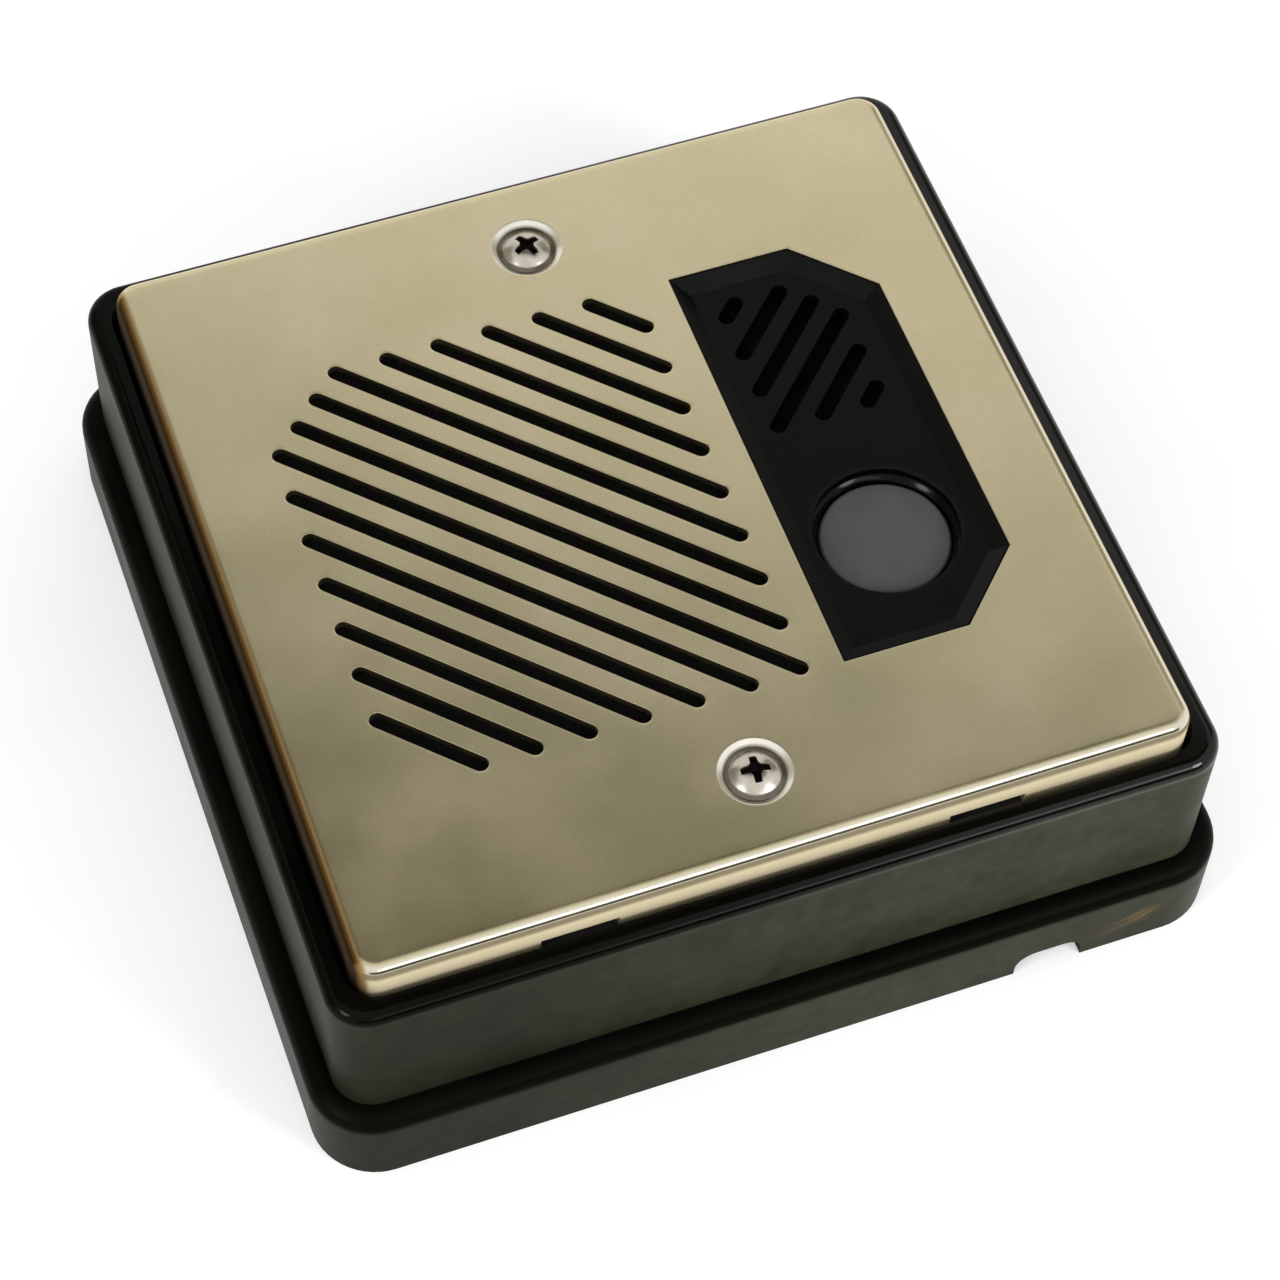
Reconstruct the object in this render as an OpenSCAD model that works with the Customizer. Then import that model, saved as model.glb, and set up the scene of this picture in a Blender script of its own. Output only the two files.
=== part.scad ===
// Door intercom station: a bent metal face plate that carries a loudspeaker, a microphone and a
// sprung call button, screwed on a moulded wall box with a wider base skirt.
// The back of the box lies on Z = 0, +Z points out of the face and +Y points up the wall.
// The origin is the centre of the back. All sizes are in millimetres.

/* [Face plate] */
// Side of the square face plate
plate_size = 114.3; // [108:0.1:130]
// Thickness of the plate's sheet
plate_t = 1.2; // [0.8:0.1:1.5]
// Radius of the plate's corners, seen from the front
plate_corner_r = 3.5; // [2.5:0.1:7]
// Outside radius of the bend along the plate's edges
plate_bend_r = 1.8; // [1.6:0.1:2.4]
// Depth of the turned-down edge, from the plate's face
plate_skirt = 7; // [6:0.1:9]
// Height of the plate's face above the rim of the box
plate_proud = 4.5; // [3:0.1:5]
// Width of the two notches in the plate's lower edge
edge_notch_w = 10.5; // [6:0.1:14]
// Height of the notches
edge_notch_h = 2.4; // [1:0.1:3]
// Distance of the notches from the plate's middle
edge_notch_x = 27.8; // [20:0.1:34]

/* [Speaker slots] */
// Width of a slot
slot_w = 2.25; // [1.5:0.05:3]
// Distance between the centre lines of two slots
slot_pitch = 5.22; // [4:0.01:5.4]
// Number of slots
slot_count = 15; // [9:2:15]
// Distance of the middle slot from the middle of the field, to the upper right
slot_shift = 1.55; // [0:0.01:1.6]
// Width of the slotted field
field_w = 56; // [40:0.5:57]
// Height of the slotted field
field_h = 67; // [50:0.5:68]
// Size of the cut-off upper left corner of the field
field_cut = 11.2; // [6:0.1:18]

/* [Insert panel] */
// Left edge of the plate's window, from the plate's middle
window_left = 16.9; // [15:0.1:18]
// Width of the window
window_w = 27.8; // [27:0.1:32]
// Height of the window
window_h = 66.8; // [64:0.1:72]
// Size of the two cut-off right corners of the window
window_cut = 10; // [6:0.1:11]
// Width of the panel's flange behind the plate
panel_lap = 2.5; // [2:0.1:4]
// Thickness of the panel
panel_t = 2; // [1.5:0.1:3]
// Width of the sloping border inside the window
bevel_w = 2.2; // [1:0.1:2.6]
// Thickness of the panel's gasket
panel_gasket_t = 0.5; // [0.3:0.1:1]
// Height of the panel's upper edge below the plate's face
panel_drop = 0.2; // [0.1:0.05:0.5]

/* [Microphone] */
// Width of a slot of the microphone grille
mic_slot_w = 2.3; // [1:0.05:2.6]
// Distance between the centre lines of two slots
mic_slot_pitch = 4.69; // [4:0.01:5]
// Number of slots
mic_slot_count = 6; // [2:1:6]
// Width of the microphone grille
mic_field_w = 17; // [12:0.1:18]
// Height of the microphone grille
mic_field_h = 23.4; // [18:0.1:25]
// Size of the cut-off upper right corner of the grille
mic_field_cut = 6.2; // [3:0.1:9]
// Height of the grille's middle above the plate's middle
mic_y = 16.8; // [16:0.1:17]
// Diameter of the microphone capsule
capsule_d = 9.7; // [6:0.1:12]
// Height of the microphone capsule
capsule_h = 5; // [3:0.1:6.5]

/* [Call button] */
// Diameter of the button's face
button_d = 18; // [14:0.1:18.6]
// Diameter of the well that the button sits in
well_d = 20; // [19:0.1:21]
// Depth of the button's face below the panel
button_sunk = 1.8; // [0.5:0.1:2.5]
// Travel of the button
button_travel = 1.2; // [0.6:0.1:1.3]
// Height of the button's middle, below the plate's middle when negative
button_y = -14.8; // [-15.5:0.1:-14]
// Diameter of the spring's wire
spring_wire = 0.6; // [0.4:0.05:0.8]
// Turns of the spring
spring_turns = 3.5; // [2.5:0.5:4]

/* [Circuit board] */
// Distance from the panel's back to the board
board_gap = 10; // [9.8:0.1:12]
// Thickness of the board
board_t = 1.6; // [1:0.1:2]
// Number of wire terminals
terminal_count = 4; // [2:1:4]
// Distance between two wire terminals
terminal_pitch = 5.08; // [5:0.01:5.08]

/* [Speaker] */
// Diameter of the speaker
speaker_d = 57; // [54:0.5:60]
// Height of the speaker's basket
basket_h = 8.2; // [7:0.1:9]
// Diameter of the magnet
magnet_d = 32; // [30:0.5:36]
// Height of the magnet
magnet_h = 6; // [4:0.1:8]
// Diameter of the voice coil
coil_d = 14.6; // [12:0.1:16]
// Travel of the cone to each side
cone_travel = 0.4; // [0.1:0.1:0.5]
// Thickness of the cloth behind the slots
cloth_t = 0.5; // [0.3:0.1:1]
// Thickness of the foam ring behind the cloth
speaker_gasket_t = 2; // [1.9:0.1:3]

/* [Wall box] */
// Thickness of the lip round the plate
lip_t = 3.05; // [2.5:0.05:5]
// Gap between the plate and the lip
plate_gap = 0.9; // [0.4:0.05:1.2]
// Thickness of the box's side walls
wall_t = 3; // [2:0.1:3.4]
// Radius of the box's corners, seen from the front
box_corner_r = 5.7; // [4.5:0.1:9]
// Radius of the rounded outer edge of the rim
rim_round = 1.8; // [0.5:0.1:2.2]
// Height of the side walls between the skirt and the rim
wall_h = 23.5; // [23:0.1:35]
// Height of the base skirt
skirt_h = 13.7; // [12:0.1:18]
// How far the skirt stands out from the side walls
skirt_step = 3.3; // [3:0.1:6]
// Radius of the rounded upper edge of the skirt
skirt_round = 2.6; // [1:0.1:2.8]
// Thickness of the skirt
skirt_t = 2.8; // [2:0.1:4]
// Thickness of the box's floor
floor_t = 3; // [2:0.1:4]
// Thickness of the ledge that the plate's gasket lies on
ledge_t = 3; // [2:0.1:4]
// Width of the plate's gasket
gasket_w = 2.6; // [2:0.1:4]
// Thickness of the plate's gasket
gasket_t = 1.5; // [1:0.1:3]

/* [Fixings] */
// Distance between the two plate screws
screw_spacing = 90.3; // [89:0.1:94]
// Diameter of the plate screws
screw_d = 3.9; // [3:0.1:4.5]
// Diameter of the plate screws' heads
screw_head_d = 8; // [7.5:0.1:8.6]
// Diameter of the dimples that the heads sit in
dimple_d = 9.9; // [9.5:0.1:11]
// Distance between the wall fixing holes, across
fixing_x = 46; // [40:0.1:52]
// Distance between the wall fixing holes, up the wall
fixing_y = 83.3; // [76:0.1:88]
// Diameter of the wall fixing holes
fixing_d = 4.5; // [3.5:0.1:6]

/* [Cable] */
// Distance of the cable notch from the box's middle
notch_x = 37.9; // [36:0.1:42]
// Width of the cable notch
notch_w = 9.9; // [6:0.1:14]
// Height of the cable notch
notch_h = 4.4; // [4:0.1:7]
// Distance of the cable entry below the box's middle
entry_y = 44; // [40:0.1:45]
// Diameter of the cable that the grommet holds
cable_d = 4.2; // [3:0.1:4.4]

/* [Hidden] */
$fn = 64;

// Overlap of cutting tools past the faces that they cut
over = 1;
// Gap round pieces that are pushed into one another
fit_gap = 0.05;
// Gap between pieces that move past one another
run_gap = 0.3;

// Heights, from the back of the box
rim_z = skirt_h + wall_h;
face_z = rim_z + plate_proud;
sheet_z = face_z - plate_t;
plate_foot_z = face_z - plate_skirt;
seat_z = plate_foot_z - gasket_t;
floor_drop = 1;
floor_top_z = skirt_h - floor_drop;
floor_z = floor_top_z - floor_t;

// Outlines, as half sides of squares about the middle
plate_half = plate_size / 2;
lip_half = plate_half + plate_gap;
wall_half = lip_half + lip_t;
skirt_half = wall_half + skirt_step;
skirt_corner_r = box_corner_r + skirt_step;
seat_half = plate_half - gasket_w;
seat_corner_r = 2;

// Insert panel, from the window in the plate
window_right = window_left + window_w;
window_x = window_left + window_w / 2;
panel_face_z = sheet_z - panel_gasket_t;
panel_back_z = panel_face_z - panel_t;
panel_edge_z = face_z - panel_drop;
panel_edge_w = 0.3;
control_shift = 0.3;
control_x = window_x - control_shift;
stud_d = 3;
stud_len = 7;
stud_gap = 0.1;
nut_flats = 5.5;
nut_h = 2.4;
ear_r = 3.5;
ear_reach = 5;
ear_x = window_left + (window_w - window_cut) / 2;
ear_y = window_h / 2 + ear_reach;

// Button, its well and its guide tube
well_r = well_d / 2;
well_deep = 3;
well_edge = 0.6;
well_foot_z = panel_back_z - well_deep;
button_r = button_d / 2;
button_z = panel_face_z - button_sunk;
button_edge = 0.5;
button_wall = 1.6;
stop_gap = 0.2;
flange_lap = 1.2;
flange_r = well_r + flange_lap;
flange_t = 1.4;
flange_top_z = well_foot_z - stop_gap;
flange_foot_z = flange_top_z - flange_t;
guide_r = flange_r + run_gap;
guide_t = 1.7;
stem_r = 2.5;
stem_len = 0.4;
stem_foot_z = flange_foot_z - stem_len;

// Circuit board and what is on it
board_top_z = panel_back_z - board_gap;
board_back_z = board_top_z - board_t;
board_rim = 1;
post_r = 2.2;
post_left_in = 1.2;
post_left_drop = 6.4;
post_right_in = 0.7;
post_right_drop = 2.9;
post_left_x = window_left + post_left_in;
post_left_y = window_h / 2 - post_left_drop;
post_right_x = window_right - post_right_in;
post_right_y = window_h / 2 - window_cut - post_right_drop;
board_screw_r = 1;
board_screw_len = 6;
board_head_r = 2;
board_head_h = 1.4;
posts = [
    [post_left_x, post_left_y], [post_left_x, -post_left_y],
    [post_right_x, post_right_y], [post_right_x, -post_right_y]
];
switch_size = 12;
press_gap = 0.6;
switch_top_z = stem_foot_z - button_travel - press_gap;
switch_h = switch_top_z - board_top_z;
plunger_r = 2;
plunger_hidden = 1;
switch_floor_t = 0.6;
spring_r = (button_r - button_wall + flange_r) / 2;
guide_foot_gap = 1;

// Microphone pocket and its filling
pocket_rim = 1;
pocket_t = 1.2;
pocket_h = 6;
mic_foam_t = 1.5;
pocket_w = mic_field_w + 2 * pocket_rim;
pocket_l = mic_field_h + 2 * pocket_rim;
capsule_r = capsule_d / 2;
boot_top_z = panel_back_z - mic_foam_t;
capsule_foot_z = boot_top_z - capsule_h;
pin_r = 0.4;
pin_step = 2.5;
pin_ledge = 1.6;
pin_bore_r = capsule_r - pin_ledge;

// Terminal block
block_x = control_x;
block_depth = 8.2;
block_y = post_left_y - board_head_r - run_gap - block_depth / 2;
block_h = 10;
block_end = 1.2;
block_w = terminal_count * terminal_pitch + 2 * block_end;
chamber_w = 3.6;
chamber_h = 4;
chamber_len = 6;
chamber_drop = 6.8;
chamber_z = board_back_z - chamber_drop;
terminal_well_r = 2.1;
terminal_head_r = 1.8;
terminal_head_h = 1.6;
terminal_thread_r = 1.3;
terminal_sunk = 0.6;
clamp_plate_t = 0.8;
clamp_plate_lift = 1.4;
clamp_plate_z = chamber_z + clamp_plate_lift;
terminals = [for (i = [0 : terminal_count - 1]) block_x + (i - (terminal_count - 1) / 2) * terminal_pitch];

// Speaker, in front of which the cloth and the foam ring lie
speaker_r = speaker_d / 2;
cloth_z = sheet_z - cloth_t;
cloth_rim = 1.8;
cloth_gap = 0.7;
speaker_x = window_left - panel_lap - cloth_gap - max(speaker_r, field_w / 2 + cloth_rim);
rim_top_z = cloth_z - speaker_gasket_t;
frame_t = 0.8;
rim_foot_z = rim_top_z - frame_t;
basket_foot_z = rim_top_z - basket_h;
rim_w = 4.5;
basket_top_r = speaker_r - rim_w;
coil_r = coil_d / 2;
basket_seat_w = 7.2;
basket_hole_gap = 1.7;
basket_seat_r = coil_r + basket_seat_w;
basket_hole_r = coil_r + basket_hole_gap;
gasket_ring_w = 2.5;
coil_t = 0.4;
coil_gap = 0.6;
surround_t = 0.4;
surround_roll_r = 1;
surround_lap = 1;
roll_x = basket_top_r - surround_roll_r - surround_t;
cone_r = roll_x - surround_roll_r;
cone_t = 0.5;
cone_lap = 1.2;
neck_h = 3.2;
cone_neck_z = basket_foot_z + neck_h;
neck_r = coil_r + fit_gap;
cap_lap = 1.2;
cap_r = coil_r + cap_lap;
cap_h = 2.2;
cap_t = 0.4;
cone_slope = (rim_top_z - cone_neck_z) / (cone_r - cone_lap - neck_r);
cap_z = cone_neck_z + (cap_r - neck_r) * cone_slope;
magnet_step = 0.5;
washer_t = 2.5;
washer_r = basket_seat_r - magnet_step;
washer_foot_z = basket_foot_z - washer_t;
magnet_r = magnet_d / 2;
magnet_gap = 2.2;
magnet_hole_r = coil_r + magnet_gap;
magnet_foot_z = washer_foot_z - magnet_h;
yoke_t = 2.5;
yoke_r = magnet_r - magnet_step;
pole_r = coil_r - coil_t - coil_gap;
vent_r = 2;
coil_reach = 0.2;
coil_foot_z = washer_foot_z - coil_reach;
spider_t = 0.3;
spider_z = basket_foot_z + frame_t;
spider_wave = 0.5;
spider_lift = cone_travel + coil_reach;
tag_strip_w = 12;
tag_strip_t = 1.2;
tag_step = 6;
tag_inset = 1.8;
tag_x = speaker_x + speaker_r - tag_inset;
tag_len = 4;
lead_r = 0.6;

// Clamps that hold the speaker's rim
clamp_t = 1.2;
clamp_w = 20;
clamp_toe = 3.3;
clamp_gap = 0.9;
clamp_nut_gap = 0.8;
clamp_end = 3.5;
clamp_knee_y = max(field_h / 2 + cloth_rim, speaker_r) + clamp_gap;
clamp_stud_y = clamp_knee_y + clamp_t + nut_flats / 2 + clamp_nut_gap;
clamp_foot = clamp_stud_y - clamp_knee_y + clamp_end;
clamp_stud_x = 6;

// Plate screws and their bosses
boss_r = 4.5;
boss_gap = 2.3;
dimple_r = dimple_d / 2;
dimple_deep = 1.7;
boss_top_z = sheet_z - dimple_deep - boss_gap;
insert_len = 8;
insert_t = 1;
insert_r = screw_d / 2 + fit_gap + insert_t;
screw_len = insert_len - 1;
boss_rib_t = 2;
screw_r = screw_d / 2;
head_r = screw_head_d / 2;
head_raise = 0.95;
dimple_foot_gap = 0.35;
dimple_foot_r = screw_r + dimple_foot_gap;
dimple_slope = dimple_deep / (dimple_r - dimple_foot_r);
recess_w = 1.1;
recess_len = 4.4;
recess_deep = 1.3;
screws = [screw_spacing / 2, -screw_spacing / 2];

// Wall fixing and cable entry
pad_r = 5;
notch_round = 3;
grommet_t = 2.4;
grommet_lip = 2;
grommet_lip_t = 1.5;
entry_r = cable_d / 2 + grommet_t;

// Colours of the pieces
steel = [0.76, 0.71, 0.58];
zinc = [0.72, 0.72, 0.7];
brass = [0.78, 0.62, 0.3];
black = [0.08, 0.08, 0.07];
shell = [0.17, 0.17, 0.14];
rubber = [0.12, 0.12, 0.12];
grey = [0.36, 0.37, 0.38];

// Square with round corners
module round_square(half, r) {
    square([2 * half, 2 * (half - r)], center = true);
    square([2 * (half - r), 2 * half], center = true);
    for (x = [-1, 1], y = [-1, 1])
        translate([x * (half - r), y * (half - r)]) circle(r);
}

// Section of an edge: width w, height h, with its upper outer corner rounded
module edge_section(w, h, r) {
    square([w, h - r]);
    square([w - r, h]);
    translate([w - r, h - r]) intersection() {
        circle(r);
        square(r);
    }
}

// Sweeps a section round a square whose corners turn about (c, c)
module sweep_square(c) {
    for (q = [0 : 3]) rotate(90 * q) {
        translate([c, c, 0]) rotate_extrude(angle = 90) children();
        translate([c, c, 0]) rotate([90, 0, 0]) linear_extrude(2 * c) children();
    }
}

// Square block with round corners and a rounded upper edge
module round_block(half, corner_r, h, r) {
    c = half - corner_r;
    sweep_square(c) edge_section(corner_r, h, r);
    translate([-c, -c, 0]) cube([2 * c, 2 * c, h]);
}

// Outline of the window, grown by g on all sides
module window_shape(g) {
    cut = window_cut + g * (2 - sqrt(2));
    left = window_left - g;
    right = window_right + g;
    top = window_h / 2 + g;
    polygon([
        [left, -top], [right - cut, -top], [right, cut - top],
        [right, top - cut], [right - cut, top], [left, top]
    ]);
}

// Slot with round ends between two tips
module slot(a, b, w) {
    len = norm(b - a);
    dir = (b - a) / len;
    translate((a + b) / 2) rotate(atan2(dir[1], dir[0])) {
        square([len - w, w], center = true);
        for (s = [-1, 1]) translate([s * (len - w) / 2, 0]) circle(w / 2);
    }
}

// Slots that fall to the right across a w by h field whose upper left corner is cut off.
// On a slot's centre line x + y is the same all along, and the field's edges set its two tips.
module slot_field(w, h, cut, count, width, pitch, shift) {
    for (i = [0 : count - 1]) {
        sum = sqrt(2) * ((i - (count - 1) / 2) * pitch + shift);
        x0 = max(-w / 2, sum - h / 2, (sum + cut - (w + h) / 2) / 2);
        x1 = min(w / 2, sum + h / 2);
        slot([x0, sum - x0], [x1, sum - x1], width);
    }
}

// Round bar along a list of points, as one mesh
function unit(v) = v / norm(v);
function heading(p, i) = unit(p[min(i + 1, len(p) - 1)] - p[max(i - 1, 0)]);
function side_of(d) = unit(cross(d, abs(d[2]) < 0.9 ? [0, 0, 1] : [1, 0, 0]));
function ring(p, i, r, sides) =
    let (d = heading(p, i), u = side_of(d), v = cross(d, u))
    [for (k = [0 : sides - 1]) p[i] + r * (cos(360 * k / sides) * u + sin(360 * k / sides) * v)];

module bar_along(p, r, sides) {
    n = len(p);
    points = [for (i = [0 : n - 1]) each ring(p, i, r, sides)];
    walls = [
        for (i = [0 : n - 2], k = [0 : sides - 1])
            let (a = i * sides + k, b = i * sides + (k + 1) % sides)
            each [[a, b, b + sides], [a, b + sides, a + sides]]
    ];
    first = [for (k = [1 : sides - 2]) [0, k + 1, k]];
    end = (n - 1) * sides;
    final = [for (k = [1 : sides - 2]) [end, end + k, end + k + 1]];
    polyhedron(points, concat(walls, first, final));
}

// Hexagon nut on a stud, from height z downwards
module nut(z) {
    translate([0, 0, z - nut_h]) difference() {
        cylinder(h = nut_h, d = nut_flats / cos(30), $fn = 6);
        translate([0, 0, -over]) cylinder(h = nut_h + 2 * over, d = stud_d + 2 * fit_gap);
    }
}

// Places of the studs of the clamps and of the panel
module at_clamp_studs() {
    for (x = [-1, 1], y = [-1, 1])
        translate([speaker_x + x * clamp_stud_x, y * clamp_stud_y, 0]) children();
}

module at_panel_studs() {
    for (y = [-1, 1]) translate([ear_x, y * ear_y, 0]) children();
}

module at_fixings() {
    for (x = [-1, 1], y = [-1, 1]) translate([x * fixing_x / 2, y * fixing_y / 2, 0]) children();
}

module at_button(z) {
    translate([control_x, button_y, z]) children();
}

module at_mic(z) {
    translate([control_x, mic_y, z]) children();
}

module at_speaker() {
    translate([speaker_x, 0, 0]) children();
}

// Wall box
module notch() {
    translate([notch_x, 0, 0]) rotate([90, 0, 0]) linear_extrude(skirt_half + over) {
        translate([-notch_w / 2, -over]) square([notch_w, notch_h - notch_round + over]);
        translate([notch_round - notch_w / 2, 0]) square([notch_w - 2 * notch_round, notch_h]);
        for (s = [-1, 1])
            translate([s * (notch_w / 2 - notch_round), notch_h - notch_round]) circle(notch_round);
    }
}

module boss(y) {
    rib_len = wall_half - wall_t - abs(y) + over;
    translate([0, y, floor_z]) {
        cylinder(h = boss_top_z - floor_z, r = boss_r);
        mirror([0, y < 0 ? 1 : 0, 0]) translate([-boss_rib_t / 2, 0, 0])
            cube([boss_rib_t, rib_len, seat_z - ledge_t - floor_z]);
    }
}

module boss_bore(y) {
    translate([0, y, boss_top_z - insert_len]) cylinder(h = insert_len + over, r = insert_r + fit_gap);
    translate([0, y, floor_top_z]) cylinder(h = boss_top_z - floor_top_z, r = screw_r + run_gap);
}

module back_box() {
    color(shell) difference() {
        union() {
            difference() {
                union() {
                    round_block(skirt_half, skirt_corner_r, skirt_h, skirt_round);
                    round_block(wall_half, box_corner_r, rim_z, rim_round);
                }
                translate([0, 0, seat_z]) linear_extrude(rim_z)
                    round_square(lip_half, plate_corner_r + plate_gap);
                translate([0, 0, floor_top_z]) linear_extrude(rim_z)
                    round_square(seat_half, seat_corner_r);
                translate([0, 0, floor_top_z]) linear_extrude(seat_z - ledge_t - floor_top_z)
                    round_square(wall_half - wall_t, box_corner_r - wall_t);
                translate([0, 0, -over]) linear_extrude(floor_z + over)
                    round_square(skirt_half - skirt_t, skirt_corner_r - skirt_t);
            }
            for (y = screws) boss(y);
            at_fixings() cylinder(h = floor_top_z, r = pad_r);
        }
        for (y = screws) boss_bore(y);
        at_fixings() translate([0, 0, -over]) cylinder(h = floor_top_z + 2 * over, d = fixing_d);
        translate([notch_x, -entry_y, 0]) cylinder(h = floor_top_z + over, r = entry_r);
        notch();
    }
}

module cable_grommet() {
    color(rubber) translate([notch_x, -entry_y, 0]) rotate_extrude() difference() {
        union() {
            translate([0, floor_z - grommet_lip_t])
                square([entry_r - fit_gap, floor_t + 2 * grommet_lip_t]);
            translate([0, floor_z - grommet_lip_t])
                square([entry_r + grommet_lip, grommet_lip_t]);
            translate([0, floor_top_z])
                edge_section(entry_r + grommet_lip, grommet_lip_t, grommet_lip_t / 2);
        }
        translate([0, floor_z - over - grommet_lip_t]) square([cable_d / 2, floor_top_z]);
    }
}

module screw_inserts() {
    color(brass) for (y = screws) translate([0, y, boss_top_z - insert_len]) difference() {
        cylinder(h = insert_len, r = insert_r);
        translate([0, 0, -over]) cylinder(h = insert_len + 2 * over, r = screw_r + fit_gap);
    }
}

module plate_gasket() {
    color(black) translate([0, 0, seat_z]) linear_extrude(gasket_t) difference() {
        round_square(plate_half, plate_corner_r);
        round_square(seat_half, seat_corner_r);
    }
}

// Face plate and its screws
// Section of a pressed dimple, whose upper side the screw's head lies in
module dimple_section() {
    polygon([
        [dimple_foot_r, face_z - dimple_deep], [dimple_r, face_z], [dimple_r + plate_t, face_z],
        [dimple_r + plate_t, sheet_z], [dimple_r, sheet_z], [dimple_foot_r, sheet_z - dimple_deep]
    ]);
}

module face_plate() {
    color(steel) {
        difference() {
            translate([0, 0, plate_foot_z])
                round_block(plate_half, plate_corner_r, plate_skirt, plate_bend_r);
            translate([0, 0, plate_foot_z - over]) linear_extrude(plate_skirt - plate_t + over)
                round_square(plate_half - plate_t, plate_corner_r - plate_t);
            translate([speaker_x, 0, sheet_z - over]) linear_extrude(plate_t + 2 * over)
                slot_field(field_w, field_h, field_cut, slot_count, slot_w, slot_pitch, slot_shift);
            translate([0, 0, sheet_z - over]) linear_extrude(plate_t + 2 * over) window_shape(0);
            for (y = screws) translate([0, y, sheet_z - over])
                cylinder(h = plate_t + 2 * over, r = dimple_r + plate_t / 2);
            for (s = [-1, 1])
                translate([s * edge_notch_x - edge_notch_w / 2, -plate_half - over, plate_foot_z - over])
                    cube([edge_notch_w, plate_t + 2 * over, edge_notch_h + over]);
        }
        for (y = screws) translate([0, y, 0]) rotate_extrude() dimple_section();
    }
}

// Raised countersunk head on a plain shank, with its cross recess
module plate_screw() {
    edge_z = face_z - (dimple_r - head_r) * dimple_slope + fit_gap;
    neck_z = edge_z - (head_r - screw_r) * dimple_slope;
    dome_h = face_z + head_raise - edge_z;
    dome_r = (head_r * head_r + dome_h * dome_h) / (2 * dome_h);
    foot_z = boss_top_z - screw_len;
    difference() {
        rotate_extrude() {
            polygon([[0, neck_z], [screw_r, neck_z], [head_r, edge_z], [0, edge_z]]);
            translate([0, foot_z]) square([screw_r, neck_z + over / 4 - foot_z]);
            intersection() {
                translate([0, edge_z + dome_h - dome_r]) circle(dome_r);
                translate([0, edge_z]) square([head_r, dome_h + over]);
            }
        }
        for (a = [0, 90]) rotate(a)
            translate([-recess_len / 2, -recess_w / 2, edge_z + dome_h - recess_deep])
                cube([recess_len, recess_w, recess_deep + over]);
    }
}

module plate_screws() {
    color(zinc) for (y = screws) translate([0, y, 0]) plate_screw();
}

module weld_studs() {
    color(zinc) {
        at_clamp_studs() translate([0, 0, sheet_z - stud_len]) cylinder(h = stud_len, d = stud_d);
        at_panel_studs() translate([0, 0, sheet_z - stud_len]) cylinder(h = stud_len, d = stud_d);
    }
}

// Insert panel
module insert_gasket() {
    color(rubber) translate([0, 0, panel_face_z]) linear_extrude(panel_gasket_t) difference() {
        window_shape(panel_lap);
        window_shape(fit_gap);
    }
}

module panel_ear() {
    circle(ear_r);
    translate([-ear_r, -ear_reach]) square([2 * ear_r, ear_reach]);
}

// Border that stands up into the window, and slopes down to the panel's face
module panel_border() {
    difference() {
        translate([0, 0, panel_back_z]) linear_extrude(panel_edge_z - panel_back_z) window_shape(-fit_gap);
        hull() {
            translate([0, 0, panel_edge_z]) linear_extrude(over) window_shape(-panel_edge_w);
            translate([0, 0, panel_face_z]) linear_extrude(over / 4) window_shape(-panel_edge_w - bevel_w);
        }
    }
}

module insert_panel() {
    color(black) difference() {
        union() {
            panel_border();
            translate([0, 0, panel_back_z]) linear_extrude(panel_t) window_shape(panel_lap);
            for (q = [0, 1]) mirror([0, q, 0]) translate([ear_x, ear_y, panel_back_z])
                linear_extrude(panel_t) panel_ear();
            at_button(board_top_z + guide_foot_gap)
                cylinder(h = panel_back_z - board_top_z - guide_foot_gap, r = guide_r + guide_t);
            at_mic(panel_back_z - pocket_h) translate([0, 0, pocket_h / 2])
                cube([pocket_w + 2 * pocket_t, pocket_l + 2 * pocket_t, pocket_h], center = true);
            for (p = posts) translate([p[0], p[1], board_top_z]) cylinder(h = board_gap, r = post_r);
        }
        at_mic(panel_back_z - pocket_h - over) translate([0, 0, (pocket_h + over) / 2])
            cube([pocket_w, pocket_l, pocket_h + over], center = true);
        at_mic(panel_back_z - over) linear_extrude(panel_t + 2 * over)
            mirror([1, 0, 0]) slot_field(
                mic_field_w, mic_field_h, mic_field_cut, mic_slot_count, mic_slot_w, mic_slot_pitch, 0
            );
        at_button(0) {
            translate([0, 0, well_foot_z - over]) cylinder(h = face_z, r = well_r);
            translate([0, 0, panel_face_z - well_edge])
                cylinder(h = well_edge + fit_gap, r1 = well_r, r2 = well_r + well_edge + fit_gap);
            translate([0, 0, board_top_z]) cylinder(h = well_foot_z - board_top_z, r = guide_r);
        }
        for (p = posts) translate([p[0], p[1], board_top_z - over])
            cylinder(h = board_screw_len + over, r = board_screw_r + fit_gap);
        at_panel_studs() translate([0, 0, panel_back_z - over])
            cylinder(h = panel_t + 2 * over, d = stud_d + 2 * stud_gap);
    }
}

module insert_nuts() {
    color(zinc) at_panel_studs() nut(panel_back_z);
}

// Microphone
module mic_foam() {
    color(black) at_mic(boot_top_z) linear_extrude(mic_foam_t)
        square([pocket_w - 2 * fit_gap, pocket_l - 2 * fit_gap], center = true);
}

module mic_boot() {
    color(rubber) at_mic(board_top_z) difference() {
        linear_extrude(boot_top_z - board_top_z)
            square([pocket_w - 2 * fit_gap, pocket_l - 2 * fit_gap], center = true);
        translate([0, 0, capsule_foot_z - board_top_z])
            cylinder(h = capsule_h + over, r = capsule_r + fit_gap);
        translate([0, 0, -over]) cylinder(h = boot_top_z - board_top_z, r = pin_bore_r);
    }
}

module mic_capsule() {
    color(zinc) at_mic(0) {
        translate([0, 0, capsule_foot_z]) cylinder(h = capsule_h, r = capsule_r);
        for (s = [-1, 1]) translate([s * pin_step / 2, 0, board_top_z])
            cylinder(h = capsule_foot_z - board_top_z + over, r = pin_r);
    }
}

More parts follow.
